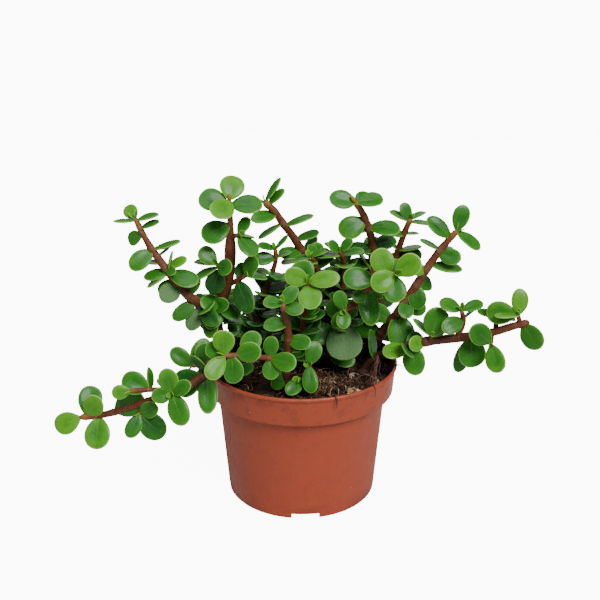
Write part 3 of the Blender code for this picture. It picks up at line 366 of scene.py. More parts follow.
# The stems and side shoots of each cutting. The first one is rooted.
CUTTINGS = {
    "left_tall_stem": (
        dict(
            route=(
                (-44, 0, 80), (-52, 2, 103), (-50, 0, 123), (-45, -3, 137), (-43, -5, 153),
                (-42, -8, 174), (-42, -10, 192),
            ),
            girth=(7.0, 7.0, 6.5, 6.0, 5.8, 6.2, 6.9, 3.2, 3.0),
            leaves=(
                (6.0, 80, -15, 14.5, 15, 5), (5.9, 166, 5, 17, 15, 20),
                (5.95, 238, 35, 15, 14.5, 5), (5.85, 358, 5, 18, 14, 30),
                (5.2, 209, 15, 17, 15, 15), (2.2, 248, 25, 16, 12, 0, 1),
                (2.3, 200, 35, 13, 11, 10),
            ),
            pairs=(1.0, 2.2, 3, 15, 14, 40),
        ),
        dict(
            route=((-42, -8, 168), (-37, -12, 171)),
            girth=(3.2, 2.4),
            leaves=((1, 58, 0, 11, 8, 20), (1, 311, 10, 15.5, 12, 30), (0.9, 352, -12, 10, 9, 80)),
        ),
        dict(
            route=((-45, -4, 143), (-50.5, -12, 152.5)),
            girth=(3.2, 2.4),
            leaves=(
                (1, 135, 5, 13, 11, 15), (1, 345, 40, 11, 10.5, 0), (1, 168, -20, 14.5, 8, 60),
                (0.8, 205, -10, 18, 10, 62), (0.6, 248, -15, 15, 12.5, 0),
            ),
        ),
        dict(
            route=((-44, -3, 137), (-38, -9, 142), (-33, -13, 146)),
            girth=(3.2, 2.4),
            leaves=(
                (1, 291, 20, 21.5, 13, -15), (1, 75, -10, 10, 7, 0), (2, 60, 10, 12, 10.5, 20),
                (2, 358, 0, 12, 9, 68),
            ),
        ),
        dict(
            route=(
                (-51, 1, 114), (-59, -4, 123), (-69, -8, 132), (-80, -10, 148), (-89, -10, 162),
                (-95, -8, 173), (-98, -7, 180),
            ),
            girth=(5.8, 5.0, 4.2, 3.0),
            leaves=(
                (6, 128, -35, 11, 9, 5), (5.9, 182, 0, 12.5, 9, 72), (5.9, 15, 0, 12.5, 9.5, 62),
                (5.15, 19, 10, 11, 9, 58), (4.8, 206, -20, 9.5, 9, 10),
                (4.0, 225, 15, 15.5, 12, 10), (4.05, 14, 0, 16, 9.5, 64), (3.6, 40, -20, 8, 6, 70),
                (3.4, 170, -10, 11, 8, 70), (3.2, 24, 0, 12, 8, 35), (3.2, 340, 50, 9, 6.5, 0),
                (3.0, 188, 5, 13, 9.5, 40), (3.0, 350, 10, 17.5, 13, 35),
                (2.6, 215, -20, 12, 9, 10), (2.5, 224, 30, 12.5, 12.5, 0),
                (2.0, 68, 20, 12, 8.5, 0), (1.75, 222, 5, 15, 9.5, 0), (1.3, 318, 25, 15, 10.5, 10),
                (1.2, 238, 10, 15, 11, 10), (0.7, 268, 25, 14, 10, 0), (0.8, 20, 30, 12, 10, 10),
            ),
            pairs=(1.0, 3.0, 2, 14, 13, 10),
        ),
    ),
    "left_trailing_stem": (
        dict(
            route=(
                (-38, -18, 80), (-42, -26, 92), (-50, -38, 97), (-58, -46, 95), (-66, -51, 91),
                (-76, -54, 88), (-88, -55, 84), (-107.5, -50, 75), (-120, -47, 70.5),
                (-131, -46, 69),
            ),
            girth=(5.0, 4.8, 3.4),
            leaves=(
                (9, 203, 0, 15, 13.5, 5), (8.7, 82, -20, 17, 14.5, 5), (8.6, 54, 25, 15.5, 13, 0),
                (8.0, 269, 10, 18, 15.5, 0), (7.1, 29, 20, 19.5, 15, 0),
                (3.0, 203, -10, 17, 17, 10), (2.6, 272, 25, 22.5, 12, 0),
                (2.4, 215, 10, 14, 12, 50),
            ),
            pairs=(0.8, 2.6, 2, 14, 13, 60),
        ),
        dict(
            route=((-72, -53, 90), (-80, -57, 92), (-87, -60, 93.5), (-97, -63, 94)),
            girth=(3.2, 2.4),
            leaves=(
                (2, 157, 0, 15.5, 13.5, 10), (2, 97, -30, 13, 8, 70), (3, 184, 10, 9.5, 8.5, 0),
            ),
        ),
        dict(
            route=((-89, -55, 83), (-93, -60, 78)),
            girth=(3.0, 2.4),
            leaves=((1, 22, 25, 12, 10, 0), (1, 247, 10, 14, 9.5, 0), (1, 316, 0, 18, 15, 0)),
        ),
        dict(
            route=((-67, -52, 91), (-72, -60, 93), (-73, -66, 94)),
            girth=(3.2, 2.4),
            leaves=(
                (2, 102, 15, 14, 11.5, 5), (2, 190, 15, 10.5, 9.5, 0), (2, 28, 15, 12, 9, 10),
                (1.9, 291, 10, 18.5, 12.5, 0), (1, 150, -20, 12, 8, 50),
            ),
        ),
        dict(
            route=((-42, -26, 92), (-50, -30, 98), (-58, -34, 98.5), (-65, -36, 97)),
            girth=(3.4, 2.4),
            leaves=(
                (3, 140, 10, 15, 10.5, 10), (3, 64, -10, 17.5, 11, 10),
                (1.6, 250, 0, 13, 11, 20, 1),
            ),
        ),
    ),
    "front_creeping_stem": (
        dict(
            route=((-9, -38, 80), (-9, -38, 96), (-8, -38, 109), (-8, -40, 124), (-11, -46, 141)),
            girth=(4.8, 4.8, 3.4),
            leaves=(
                (4, 50, -10, 11, 8.5, 10), (3.95, 175, 10, 9.5, 8.5, 35),
                (3.8, 355, 20, 10.5, 9, 30), (3.25, 182, 10, 12, 9.5, 30),
                (2.5, 350, 15, 12, 10, 20), (1.0, 243, -5, 14, 11, 10),
            ),
        ),
        dict(
            route=((-9, -38, 101), (-19, -46, 107), (-32, -50, 110), (-44, -56, 113)),
            girth=(3.6, 2.6),
            leaves=(
                (3, 93, 10, 13.5, 13, 0), (3, 235, 20, 15.5, 11, 0), (2.9, 160, -15, 13, 10.5, 5),
                (2.6, 275, -10, 15, 12, 0), (2.5, 15, 20, 15, 12, 0), (2.1, 60, -10, 14.5, 12, 10),
                (1, 85, 5, 11.5, 9, 0), (1, 275, 10, 11, 10, 0), (1.0, 348, 25, 16, 11.5, 10),
            ),
        ),
    ),
    "front_short_stem": (
        dict(
            route=((9, -24, 80), (8, -28, 88), (5, -35, 96), (4, -40, 100)),
            girth=(3.8, 2.6),
            leaves=((3, 70, 0, 13.5, 10, 0), (3, 275, 15, 15.5, 9.5, 0), (0.5, 212, 10, 10, 7, 10)),
        ),
        dict(
            route=((8, -28, 86), (3, -36, 89), (-1, -41, 91)),
            girth=(2.8, 2.2),
            leaves=((1.6, 237, 15, 13, 9, 10),),
        ),
    ),
    "centre_front_stem": (
        dict(
            route=((1, -4, 80), (1, -6, 95), (1, -14, 115), (3, -22, 135), (4, -32, 149)),
            girth=(4.6, 2.8),
            leaves=(
                (4, 160, 10, 13.5, 11.5, 0), (4, 8, 10, 17, 11, 20), (3.9, 113, -10, 13.5, 14.5, 0),
                (3.85, 278, 30, 14.5, 14, 0), (1.6, 14, -5, 17, 15, 20),
            ),
            pairs=(0.7, 3.2, 4, 16, 14, 20),
        ),
    ),
    "centre_rear_stem": (
        dict(
            route=((22, 14, 80), (23, 12, 100), (25, 8, 123), (26, 4, 147), (23, 0, 158)),
            girth=(4.6, 2.6),
            leaves=(
                (4, 150, 0, 9.5, 7.5, 60), (4, 165, 35, 9, 8, 20), (4, 40, 10, 9, 8, 40),
                (3.6, 180, 10, 15, 10, 65), (3.6, 10, -10, 13, 10, 60),
            ),
            pairs=(0.5, 3.0, 5, 16, 14, 0),
        ),
        dict(
            route=((22, 13, 90), (14, 9, 108), (11, 5, 131), (9, 0, 148), (6, -4, 155)),
            girth=(3.8, 2.4),
            leaves=((4, 190, 0, 9.5, 8, 60), (4, 30, 0, 10, 8, 60), (4, 85, -20, 8, 7, 20)),
            pairs=(1.2, 3.4, 4, 15, 12, 60),
        ),
    ),
    "right_main_stem": (
        dict(
            route=(
                (17, -2, 80), (17, -3, 97), (23, -8, 114), (32, -14, 129), (41, -22, 144),
                (48, -30, 151), (53, -40, 156),
            ),
            girth=(6.2, 3.2),
            leaves=(
                (5.4, 112, 0, 15, 14, 0), (6, 209, 15, 14, 13, 0), (6, 31, 15, 15.5, 13.5, 10),
                (5.8, 275, 25, 15, 13.5, 0), (5.2, 300, -10, 15, 13, 0), (5.3, 30, -25, 15, 12, 20),
                (4.3, 173, 10, 17.5, 14, 15), (3.5, 355, 10, 10.5, 8, 50), (3.6, 225, 30, 9, 8, 0),
                (3.7, 281, 20, 20, 12.5, 0), (2.2, 278, 20, 23.5, 22.5, 0),
                (0.6, 322, 10, 15, 12, 0),
            ),
            pairs=(0.7, 1.6, 2, 15, 14, 90),
        ),
        dict(
            route=((31, -14, 127), (27, -22, 128), (25, -28, 129)),
            girth=(3.0, 2.2),
            leaves=((2, 110, 5, 11.5, 8.5, 0), (2, 262, 25, 10, 9, 0), (1.8, 235, -10, 11, 8, 30)),
        ),
    ),
    "right_leaning_stem": (
        dict(
            route=(
                (43, 12, 80), (47, 9, 93), (52, 6, 104), (60, 2, 117), (71, 2, 136), (82, 3, 154),
                (89, 4, 163), (94, 4, 169),
            ),
            girth=(6.4, 5.8, 4.8, 3.6),
            leaves=(
                (7, 74, 0, 15, 11, 5), (7, 323, 10, 16, 10, 35), (6.4, 143, 5, 17, 11.5, 25),
                (5.4, 152, 0, 12, 8, 60), (5.3, 20, -30, 8, 6, 60), (5.2, 340, 25, 13, 11, 10),
                (4.6, 352, 5, 18, 10.5, 50), (4.5, 178, 30, 9, 8.5, 10),
                (3.95, 274, 0, 13, 11.5, 0), (3.5, 262, 30, 11, 10, 0), (3.3, 348, -20, 14, 10, 0),
                (3.0, 281, 20, 21.5, 17.5, 0), (2.6, 150, -20, 15, 12, 10),
                (1.8, 163, -25, 18, 13, 10), (1.5, 22, -30, 16, 12, 10), (4.0, 8, -40, 12, 10, 10),
            ),
        ),
    ),
    "right_spreading_stem": (
        dict(
            route=(
                (38, -8, 80), (44, -8, 89), (60, -12, 98), (76, -16, 105), (94, -18, 108),
                (112.5, -20, 112), (127, -21.5, 117.3), (136, -22, 119.5),
            ),
            girth=(5.8, 5.8, 5.2, 4.2),
            leaves=(
                (2.3, 195, 25, 14, 12, 35), (3.0, 190, 30, 10, 10, 0), (2.55, 281, 0, 16, 14, 0),
                (4.5, 271, -5, 16.5, 17, 0), (4.5, 251, -25, 23, 10, 0),
                (6.6, 301, 10, 15.5, 14, -30), (0.2, 172, 10, 13, 10, 10),
            ),
            pairs=(1.1, 2.4, 2, 15, 13, 80),
        ),
        dict(
            route=((77, -16, 105), (78, -20, 110)),
            girth=(3.4, 2.6),
            leaves=((1, 74, 10, 17.5, 16, 0), (1, 45, -20, 14, 10, 20), (1, 130, -25, 15, 9, 60)),
        ),
        dict(
            route=((94, -18, 109), (97, -18, 118), (95, -20, 127)),
            girth=(3.6, 2.6),
            leaves=(
                (2, 157, 0, 13, 11, 35), (2, 20, 0, 12.5, 9.5, 45), (1.3, 205, 25, 15, 10.5, 10, 1),
            ),
        ),
        dict(
            route=((114, -20, 112), (113, -25, 110.5), (112, -30, 109.3)),
            girth=(3.2, 2.4),
            leaves=((2, 143, 15, 15.5, 13.5, 0), (2, 282, 10, 17, 12, -15)),
        ),
        dict(
            route=((116, -20, 113), (117.5, -16, 118), (119, -14, 121)),
            girth=(3.2, 2.4),
            leaves=((2, 165, -5, 12, 8, 50), (2, 352, -10, 10, 8, 65)),
        ),
        dict(
            route=((130, -21.5, 117.5), (128.5, -23, 125)),
            girth=(3.2, 2.4),
            leaves=(
                (1, 85, 0, 15, 10.5, 0), (1, 181, 25, 15.5, 10, 72), (1, 173, -15, 18, 14.5, 10),
            ),
        ),
    ),
    "rear_bud_stem": (
        dict(
            route=(
                (30, 26, 80), (32, 25, 90), (39, 22, 111), (44, 18, 139), (44, 15, 156),
                (41, 12, 168), (37, 10, 178), (32, 8, 186),
            ),
            girth=(5.8, 5.6, 5.2, 3.8),
            leaves=(
                (7, 171, 5, 14.5, 13, 20), (7, 6, 5, 15, 12, 35), (6.9, 48, -20, 10, 10, 20),
                (5.75, 208, 15, 16, 14.5, 5), (5.2, 356, 10, 17.5, 13, 35),
                (5.0, 190, -20, 12, 9, 60), (4.0, 185, 10, 13.5, 11, 35), (4.0, 20, 5, 13, 12, 35),
                (3.4, 187, 10, 15, 11, 35),
            ),
            pairs=(0.7, 3.7, 5, 16, 14, 0),
        ),
    ),
    "rear_right_stem": (
        dict(
            route=(
                (38, 32, 80), (41, 31, 92), (48, 30, 109), (57, 28, 136), (62, 26, 153),
                (65, 25, 163), (68, 24, 171),
            ),
            girth=(5.0, 4.4, 3.4),
            leaves=(
                (5.9, 150, 0, 12.5, 8.5, 55), (6, 118, 5, 10, 8.5, 15), (6, 30, -15, 10, 8, 60),
                (5.8, 358, 5, 12.5, 8.5, 65), (4.9, 175, 15, 9, 8, 40), (4.9, 5, 0, 8, 7, 70),
                (3.5, 4, 10, 15, 12.5, 25),
            ),
            pairs=(0.7, 3.9, 5, 16, 13, 78),
        ),
    ),
    "rear_arching_stem": (
        dict(
            route=(
                (10, 30, 80), (12, 28, 95), (11, 25, 117), (4, 22, 142), (-3, 20, 157),
                (-11, 18, 169), (-17, 17, 178), (-23, 16, 184),
            ),
            girth=(5.4, 5.2, 4.8, 4.0),
            leaves=(
                (7, 57, 0, 16, 9, 62), (6.6, 45, 10, 12, 9, 50), (7, 175, -10, 8, 7, 60),
                (5.9, 197, 20, 15, 11, 35), (5.2, 212, 0, 16, 9.5, 65), (5.0, 22, 5, 17, 10, 60),
                (4.1, 20, -5, 13.5, 10, 50), (3.6, 197, 30, 14, 11.5, 35),
            ),
            pairs=(0.5, 3.4, 6, 16, 14, 30),
        ),
    ),
    "centre_left_stem": (
        dict(
            route=(
                (-25, 20, 80), (-27, 18, 92), (-28, 15, 103), (-25, 12, 121), (-20, 10, 135),
                (-16, 8, 148), (-16, 6, 157),
            ),
            girth=(4.6, 2.6),
            leaves=(
                (6, 50, -5, 10.5, 8, 65), (6, 165, 5, 10, 8, 50), (5.4, 185, 15, 12.5, 9.5, 20),
                (5.4, 20, -10, 9, 8, 65), (4.3, 150, -10, 8, 7, 60), (2.0, 178, 15, 18, 15, 10),
            ),
            pairs=(0.9, 4.0, 6, 16, 14, 0),
        ),
    ),
    "back_left_stem": (
        dict(
            route=((-28, 34, 80), (-31, 39, 93), (-38, 46, 102), (-47, 52, 104), (-54, 57, 101)),
            girth=(4.6, 2.6),
            pairs=(0.6, 4.0, 5, 16, 12, 20),
        ),
        dict(
            route=((-31, 39, 91), (-42, 36, 101), (-51, 34, 110), (-56, 33, 118)),
            girth=(3.4, 2.4),
            pairs=(0.8, 3.0, 4, 15, 11, 50),
        ),
    ),
    "back_centre_stem": (
        dict(
            route=((-5, 38, 80), (-6, 43, 93), (-8, 50, 101), (-8, 59, 102), (-6, 66.5, 99)),
            girth=(4.6, 2.6),
            pairs=(0.6, 4.0, 5, 16, 12, 60),
        ),
        dict(
            route=((-6, 42, 90), (-11, 40, 103), (-14, 40, 115), (-13, 41, 124)),
            girth=(3.4, 2.4),
            pairs=(0.8, 3.0, 4, 15, 11, 10),
        ),
    ),
    "back_right_stem": (
        dict(
            route=((20, 38, 80), (24, 42, 93), (32, 49, 102), (42, 55, 104), (50, 60, 102)),
            girth=(4.6, 2.6),
            pairs=(0.6, 4.0, 5, 16, 12, 0),
        ),
        dict(
            route=((23, 41, 91), (21, 40, 104), (23, 40, 117), (28, 42, 126)),
            girth=(3.4, 2.4),
            pairs=(0.8, 3.0, 4, 15, 11, 40),
        ),
    ),
}
SHOOTS = tuple(
    Shoot(cutting, rooted=number == 0, **shoot)
    for cutting, shoots in CUTTINGS.items()
    for number, shoot in enumerate(shoots)
)


def colour_property(name, description, default):
    return bpy.props.FloatVectorProperty(
        name=name, description=description, default=default, subtype="COLOR", min=0, max=1
    )


def share_property(name, description, default):
    return bpy.props.FloatProperty(
        name=name, description=description, default=default, subtype="FACTOR", min=0, max=1
    )


def length_property(name, description, default):
    return bpy.props.FloatProperty(
        name=name, description=description, default=default, unit="LENGTH", min=0, precision=5
    )


def count_property(name, description, default, lowest, highest):
    return bpy.props.IntProperty(
        name=name, description=description, default=default, min=lowest, max=highest
    )


def strength_property(name, description, default, **kind):
    return bpy.props.FloatProperty(
        name=name, description=description, default=default, min=0, **kind
    )


class PotSettings(bpy.types.PropertyGroup):
    """The plastic nursery pot."""

    steps: count_property("Turning steps", "Straight sides of the round pot", 96, 36, 240)
    edge: length_property("Edge rounding", "How far the moulded edges are rounded", 0.0003)
    colour: colour_property("Plastic", "Colour of the clean plastic", (0.345, 0.050, 0.016))
    faded: colour_property("Faded plastic", "Colour where it is rubbed", (0.38, 0.072, 0.028))
    soiled: colour_property("Soil film", "Colour of the soil on it", (0.09, 0.025, 0.012))
    dust: share_property("Dust", "How much dust and soil clings to the plastic", 0.35)


class SoilSettings(bpy.types.PropertyGroup):
    """The potting soil and what lies in it."""

    crumb: length_property("Crumb height", "How far the crumbs stand out of the surface", 0.0040)
    chips: count_property("Chips", "Pieces of bark and peat on the surface", 680, 0, 2000)
    dark_fibres: count_property("Dark fibres", "Brown coir fibres on the surface", 380, 0, 3000)
    pale_fibres: count_property("Pale fibres", "Straw-coloured fibres on the surface", 60, 0, 3000)
    # The damp soil colour fills the low parts of the crumb relief, partly as painted shade in the
    # hollows.
    colour: colour_property("Soil", "Colour of the damp soil", (0.008, 0.005, 0.003))
    dry: colour_property("Dry soil", "Colour of the dry crumbs", (0.034, 0.018, 0.010))
    coir: colour_property("Coir", "Colour of the brown fibres", (0.130, 0.052, 0.022))
    shavings: count_property("Shavings", "Pale curled shavings in the heap", 60, 0, 600)
    shreds: count_property("Shreds", "Brown shreds around the heap", 170, 0, 900)
    straw: colour_property("Straw", "Colour of the pale fibres", (0.40, 0.22, 0.11))


class StemSettings(bpy.types.PropertyGroup):
    """The stems."""

    sides: count_property("Sides", "Sides of a stem before it is smoothed", 8, 5, 16)
    swelling: share_property("Node swelling", "How much thicker a stem is at its leaves", 0.16)
    old: colour_property("Old bark", "Colour of the bark near the soil", (0.030, 0.011, 0.005))
    young: colour_property("Young bark", "Colour of a growing stem's bark", (0.150, 0.038, 0.010))
    tip: colour_property("Growing tip", "Colour of the soft end of a stem", (0.28, 0.11, 0.02))
    bud: colour_property("Bud", "Colour of the bud that ends a stem", (0.26, 0.19, 0.03))
    scar: colour_property("Leaf scar", "Colour of the pale scars on the bark", (0.22, 0.12, 0.07))


class LeafSettings(bpy.types.PropertyGroup):
    """The leaves."""

    levels: count_property("Smoothing", "Subdivision levels of the leaves and stems", 1, 1, 2)
    groove: share_property("Groove", "Depth of the groove, of half the thickness", 0.35)
    young: colour_property("Young leaf", "Colour of a new leaf", (0.088, 0.295, 0.013))
    middle: colour_property("Grown leaf", "Colour of a grown leaf", (0.026, 0.160, 0.010))
    old: colour_property("Old leaf", "Colour of an old shaded leaf", (0.010, 0.075, 0.010))
    bloom: colour_property("Bloom", "Greyish bloom on the oldest leaves", (0.110, 0.220, 0.080))
    # The margin colour's line round the rim is partly painted glow of light shining through the
    # thin rim.
    margin: colour_property("Margin", "Colour of the thin edge line", (0.32, 0.54, 0.12))
    petiole: colour_property("Petiole", "Colour of the short stalk", (0.22, 0.095, 0.018))


class StageSettings(bpy.types.PropertyGroup):
    """Floor and light."""

    floor_size: length_property("Floor", "Side of the square floor", 30.0)
    floor_colour: colour_property("Floor", "Colour of the plain floor", (0.6, 0.6, 0.6))
    glow: strength_property("Floor glow", "Light that the camera sees from the floor", 10.0)
    sun: strength_property("Main light", "Strength of the soft main light", 3.6)
    spread: strength_property(
        "Softness", "Apparent size of the main light", math.radians(28), subtype="ANGLE"
    )
    fill: strength_property("Fill light", "Power of the side softbox", 0.8, unit="POWER")
    top: strength_property("Top light", "Power of the overhead softbox", 3.0, unit="POWER")
    rear: strength_property("Rear light", "Power of the softbox behind", 3.5, unit="POWER")
    sky: strength_property("Surroundings", "Brightness of the pale studio", 0.17)


def group_property(kind, name):
    return bpy.props.PointerProperty(type=kind, name=name, description=kind.__doc__)


class BushSettings(bpy.types.PropertyGroup):
    """All settings of the potted elephant bush."""

    pot: group_property(PotSettings, "Pot")
    soil: group_property(SoilSettings, "Soil")
    stems: group_property(StemSettings, "Stems")
    leaves: group_property(LeafSettings, "Leaves")
    stage: group_property(StageSettings, "Stage")


class Network:
    """A node tree, with short calls for the nodes that these finishes are made of."""

    def __init__(self, tree):
        self.tree = tree

    def add(self, kind, feeds=None, **settings):
        made = self.tree.nodes.new("ShaderNode" + kind)
        for name, value in settings.items():
            setattr(made, name, value)
        self.feeds(made, feeds or {})
        return made

    def feed(self, socket, value):
        if isinstance(value, bpy.types.NodeSocket):
            self.tree.links.new(value, socket)
        elif socket.type == "RGBA":
            socket.default_value = (*value[:3], 1)
        else:
            socket.default_value = value

    def feeds(self, node, values):
        for name, value in values.items():
            self.feed(node.inputs[name], value)

    def maths(self, operation, first, second=0.0, **settings):
        made = self.add("Math", operation=operation, **settings)
        self.feed(made.inputs[0], first)
        self.feed(made.inputs[1], second)
        return made.outputs[0]

    def times(self, first, second):
        return self.maths("MULTIPLY", first, second)

    def plus(self, first, second):
        return self.maths("ADD", first, second)

    def minus(self, first, second):
        return self.maths("SUBTRACT", first, second)

    def mixed(self, share, first, second):
        made = self.add("Mix", data_type="RGBA", clamp_factor=True)
        for socket, value in zip((0, 6, 7), (share, first, second)):
            self.feed(made.inputs[socket], value)
        return made.outputs[2]

    def tinted(self, colour, other, mask, share):
        """The colour with this share of another where the mask is."""
        return self.mixed(self.times(mask, share), colour, other)

    def between(self, value, low, high, at_low=0.0, at_high=1.0):
        """The value carried smoothly from one range to another."""
        ends = {"From Min": low, "From Max": high, "To Min": at_low, "To Max": at_high}
        made = self.add("MapRange", {"Value": value, **ends}, interpolation_type="SMOOTHSTEP")
        return made.outputs[0]

    def cloud(self, vector, scale, detail, roughness):
        feeds = {"Vector": vector, "Scale": scale, "Detail": detail, "Roughness": roughness}
        return self.add("TexNoise", feeds).outputs["Fac"]

    def place(self):
        return self.add("TexCoord").outputs["Object"]

    def tone(self):
        """The three numbers of the colour attribute that leaves and bark have, and the fourth."""
        given = self.add("Attribute", attribute_name="tone").outputs
        parts = self.add("SeparateColor", {"Color": given["Color"]}).outputs
        return *parts, given["Alpha"]

    def effect(self, group, **feeds):
        return self.add("Group", feeds, node_tree=group).outputs["Mask"]

    def mottle(self, scale, contrast):
        return self.effect(mottle_effect(), Scale=scale, Contrast=contrast)

    def specks(self, scale, size, share):
        return self.effect(specks_effect(), Scale=scale, Size=size, Share=share)

    def bump(self, shader, height, depth, strength=1.0):
        feeds = {"Height": height, "Distance": depth, "Strength": strength}
        self.feed(shader.inputs["Normal"], self.add("Bump", feeds).outputs[0])


def shared_effect(name, inputs, mask):
    """The node group of this name, made when it is first asked for."""
    if name not in bpy.data.node_groups:
        group = bpy.data.node_groups.new(name, "ShaderNodeTree")
        for socket, default in inputs.items():
            made = group.interface.new_socket(
                socket, in_out="INPUT", socket_type="NodeSocketFloat"
            )
            made.default_value = default
        group.interface.new_socket("Mask", in_out="OUTPUT", socket_type="NodeSocketFloat")
        net = Network(group)
        given = group.nodes.new("NodeGroupInput").outputs
        result = group.nodes.new("NodeGroupOutput").inputs
        net.feed(result["Mask"], mask(net, given))
    return bpy.data.node_groups[name]


def mottle_effect():
    """Soft uneven patches, as a mask that is half way on average."""

    def mask(net, given):
        cloud = net.cloud(net.place(), given["Scale"], 4.0, 0.6)
        spread = net.times(net.minus(cloud, 0.5), net.times(given["Contrast"], 2.2))
        return net.maths("ADD", spread, 0.5, use_clamp=True)

    return shared_effect("mottle", {"Scale": 100.0, "Contrast": 1.0}, mask)


def specks_effect():
    """Small scattered round spots of uneven size, as a mask."""

    def mask(net, given):
        cells = net.add("TexVoronoi", {"Vector": net.place(), "Scale": given["Scale"]}).outputs
        spot = net.between(cells["Distance"], given["Size"], net.times(given["Size"], 0.45))
        chance = net.add("SeparateColor", {"Color": cells["Color"]}).outputs[0]
        return net.times(spot, net.maths("LESS_THAN", chance, given["Share"]))

    return shared_effect("specks", {"Scale": 800.0, "Size": 0.2, "Share": 0.3}, mask)


def finish(name):
    """A new material with its network and its shader."""
    made = bpy.data.materials.new(name)
    made.use_nodes = True
    return made, Network(made.node_tree), made.node_tree.nodes["Principled BSDF"]


def shaded(colour, factor):
    return [value * factor for value in colour]


def plastic_finish(settings):
    """Matte terracotta plastic: flow marks, pale scuffs, pinholes, and soil film under the lip."""
    made, net, shader = finish("terracotta_plastic")
    place = net.place()
    height = net.add("SeparateXYZ", {"Vector": place}).outputs[2]
    patches = net.mottle(38.0, 1.3)
    fine = net.mottle(900.0, 1.0)
    colour = net.tinted(settings.colour, settings.faded, patches, 0.28)
    flow = net.add("Mapping", {"Vector": place, "Scale": (1, 1, 0.12)}).outputs[0]
    streaks = net.cloud(flow, 160.0, 3.0, 0.7)
    colour = net.mixed(net.between(streaks, 0.52, 0.78, 0.0, 0.16), colour, settings.faded)
    pores = net.specks(420.0, 0.16, 0.12)
    colour = net.tinted(colour, settings.soiled, pores, 0.5)
    colour = net.tinted(colour, MOTE, net.specks(230.0, 0.10, 0.05), 0.7)
    under_lip = net.between(height, (POT_HEIGHT - 9) * MM, (POT_HEIGHT - 1) * MM)
    film = net.between(net.mottle(120.0, 1.6), 0.45, 1.0)
    smear = net.times(film, net.between(height, 0.055, POT_HEIGHT * MM, 0.25, 1.0))
    colour = net.tinted(colour, settings.soiled, smear, settings.dust)
    foot = net.between(height, 0.012, 0.0, 0.0, 0.45)
    colour = net.tinted(colour, settings.soiled, foot, net.between(patches, 0.3, 0.8))
    rough = net.between(patches, 0.2, 0.8, 0.40, 0.52)
    rough = net.plus(rough, net.times(net.times(smear, under_lip), 0.2))
    net.feeds(shader, {"Base Color": colour, "Roughness": rough, "Specular IOR Level": 0.42})
    grainy = net.plus(net.times(fine, 0.5), net.times(streaks, 0.6))
    net.bump(shader, net.minus(grainy, pores), 0.00012, 0.5)
    return made


def soil_finish(name, settings, lightness):
    """Damp crumbly soil: dark hollows that are partly painted shade, drier crumbs and a few pale
    grains.
    """
    made, net, shader = finish(name)
    crumbs = net.mottle(420.0, 1.7)
    wide = net.mottle(90.0, 1.5)
    # Darker where the crumb relief is low: the damp soil's own dark colour, partly painted shade in
    # the hollows.
    colour = net.tinted(settings.colour, settings.dry, crumbs, lightness)
    colour = net.tinted(colour, settings.coir, wide, 0.25)
    grains = net.specks(520.0, 0.22, 0.06)
    colour = net.tinted(colour, settings.straw, grains, 0.55)
    rough = net.between(wide, 0.2, 0.8, 0.95, 0.72)
    net.feeds(shader, {"Base Color": colour, "Roughness": rough, "Specular IOR Level": 0.25})
    net.bump(shader, net.plus(crumbs, net.times(grains, 0.5)), 0.0007)
    return made


def fibre_finish(name, colour, other):
    """Dry plant fibre, uneven in colour along a strand and from one strand to the next."""
    made, net, shader = finish(name)
    own = net.add("Attribute", attribute_name="strand").outputs["Fac"]
    along = net.mottle(260.0, 2.0)
    fine = net.mottle(2600.0, 1.4)
    dark = shaded(colour, 0.22)
    tint = net.tinted(colour, other, along, net.between(own, 0.3, 0.7))
    tint = net.mixed(net.between(own, 0.80, 0.30, 0.0, 0.95), tint, dark)
    tint = net.mixed(net.between(own, 0.92, 0.96, 0.0, 0.6), tint, BLEACHED)
    tint = net.tinted(tint, dark, fine, 0.35)
    rough = net.between(fine, 0.2, 0.8, 0.85, 0.6)
    net.feeds(shader, {"Base Color": tint, "Roughness": rough})
    net.bump(shader, fine, 0.0001, 0.6)
    return made


def bark_finish(settings):
    """Reddish bark: dark near the soil, orange at the tip, with pale scars where leaves grow."""
    made, net, shader = finish("bark")
    age, _, node, length = net.tone()
    patches = net.mottle(240.0, 1.6)
    fine = net.mottle(1500.0, 1.5)
    grown = net.between(net.plus(age, net.times(patches, 0.2)), 0.1, 0.75)
    colour = net.mixed(grown, settings.old, settings.young)
    colour = net.tinted(colour, shaded(settings.young, 0.35), patches, 0.45)
    colour = net.mixed(net.between(age, 0.90, 1.0, 0.0, 0.8), colour, settings.tip)
    colour = net.mixed(net.between(age, 1.02, 1.08), colour, settings.bud)
    feeds = {"W": net.times(length, 90.0), "Scale": 1.0, "Detail": 2.0}
    rings = net.add("TexNoise", feeds, noise_dimensions="1D").outputs["Fac"]
    worn = net.times(net.between(rings, 0.56, 0.66), net.between(fine, 0.3, 0.7))
    colour = net.tinted(colour, settings.scar, worn, 0.30)
    scar = net.times(net.between(node, 0.45, 0.95), net.between(fine, 0.2, 0.6))
    colour = net.tinted(colour, settings.scar, scar, 0.55)
    colour = net.tinted(colour, settings.scar, net.specks(900.0, 0.25, 0.12), 0.6)
    rough = net.between(patches, 0.2, 0.8, 0.38, 0.58)
    net.feeds(shader, {"Base Color": colour, "Roughness": rough, "Specular IOR Level": 0.32})
    net.bump(shader, net.plus(net.times(fine, 0.7), rings), 0.00025, 0.6)
    return made


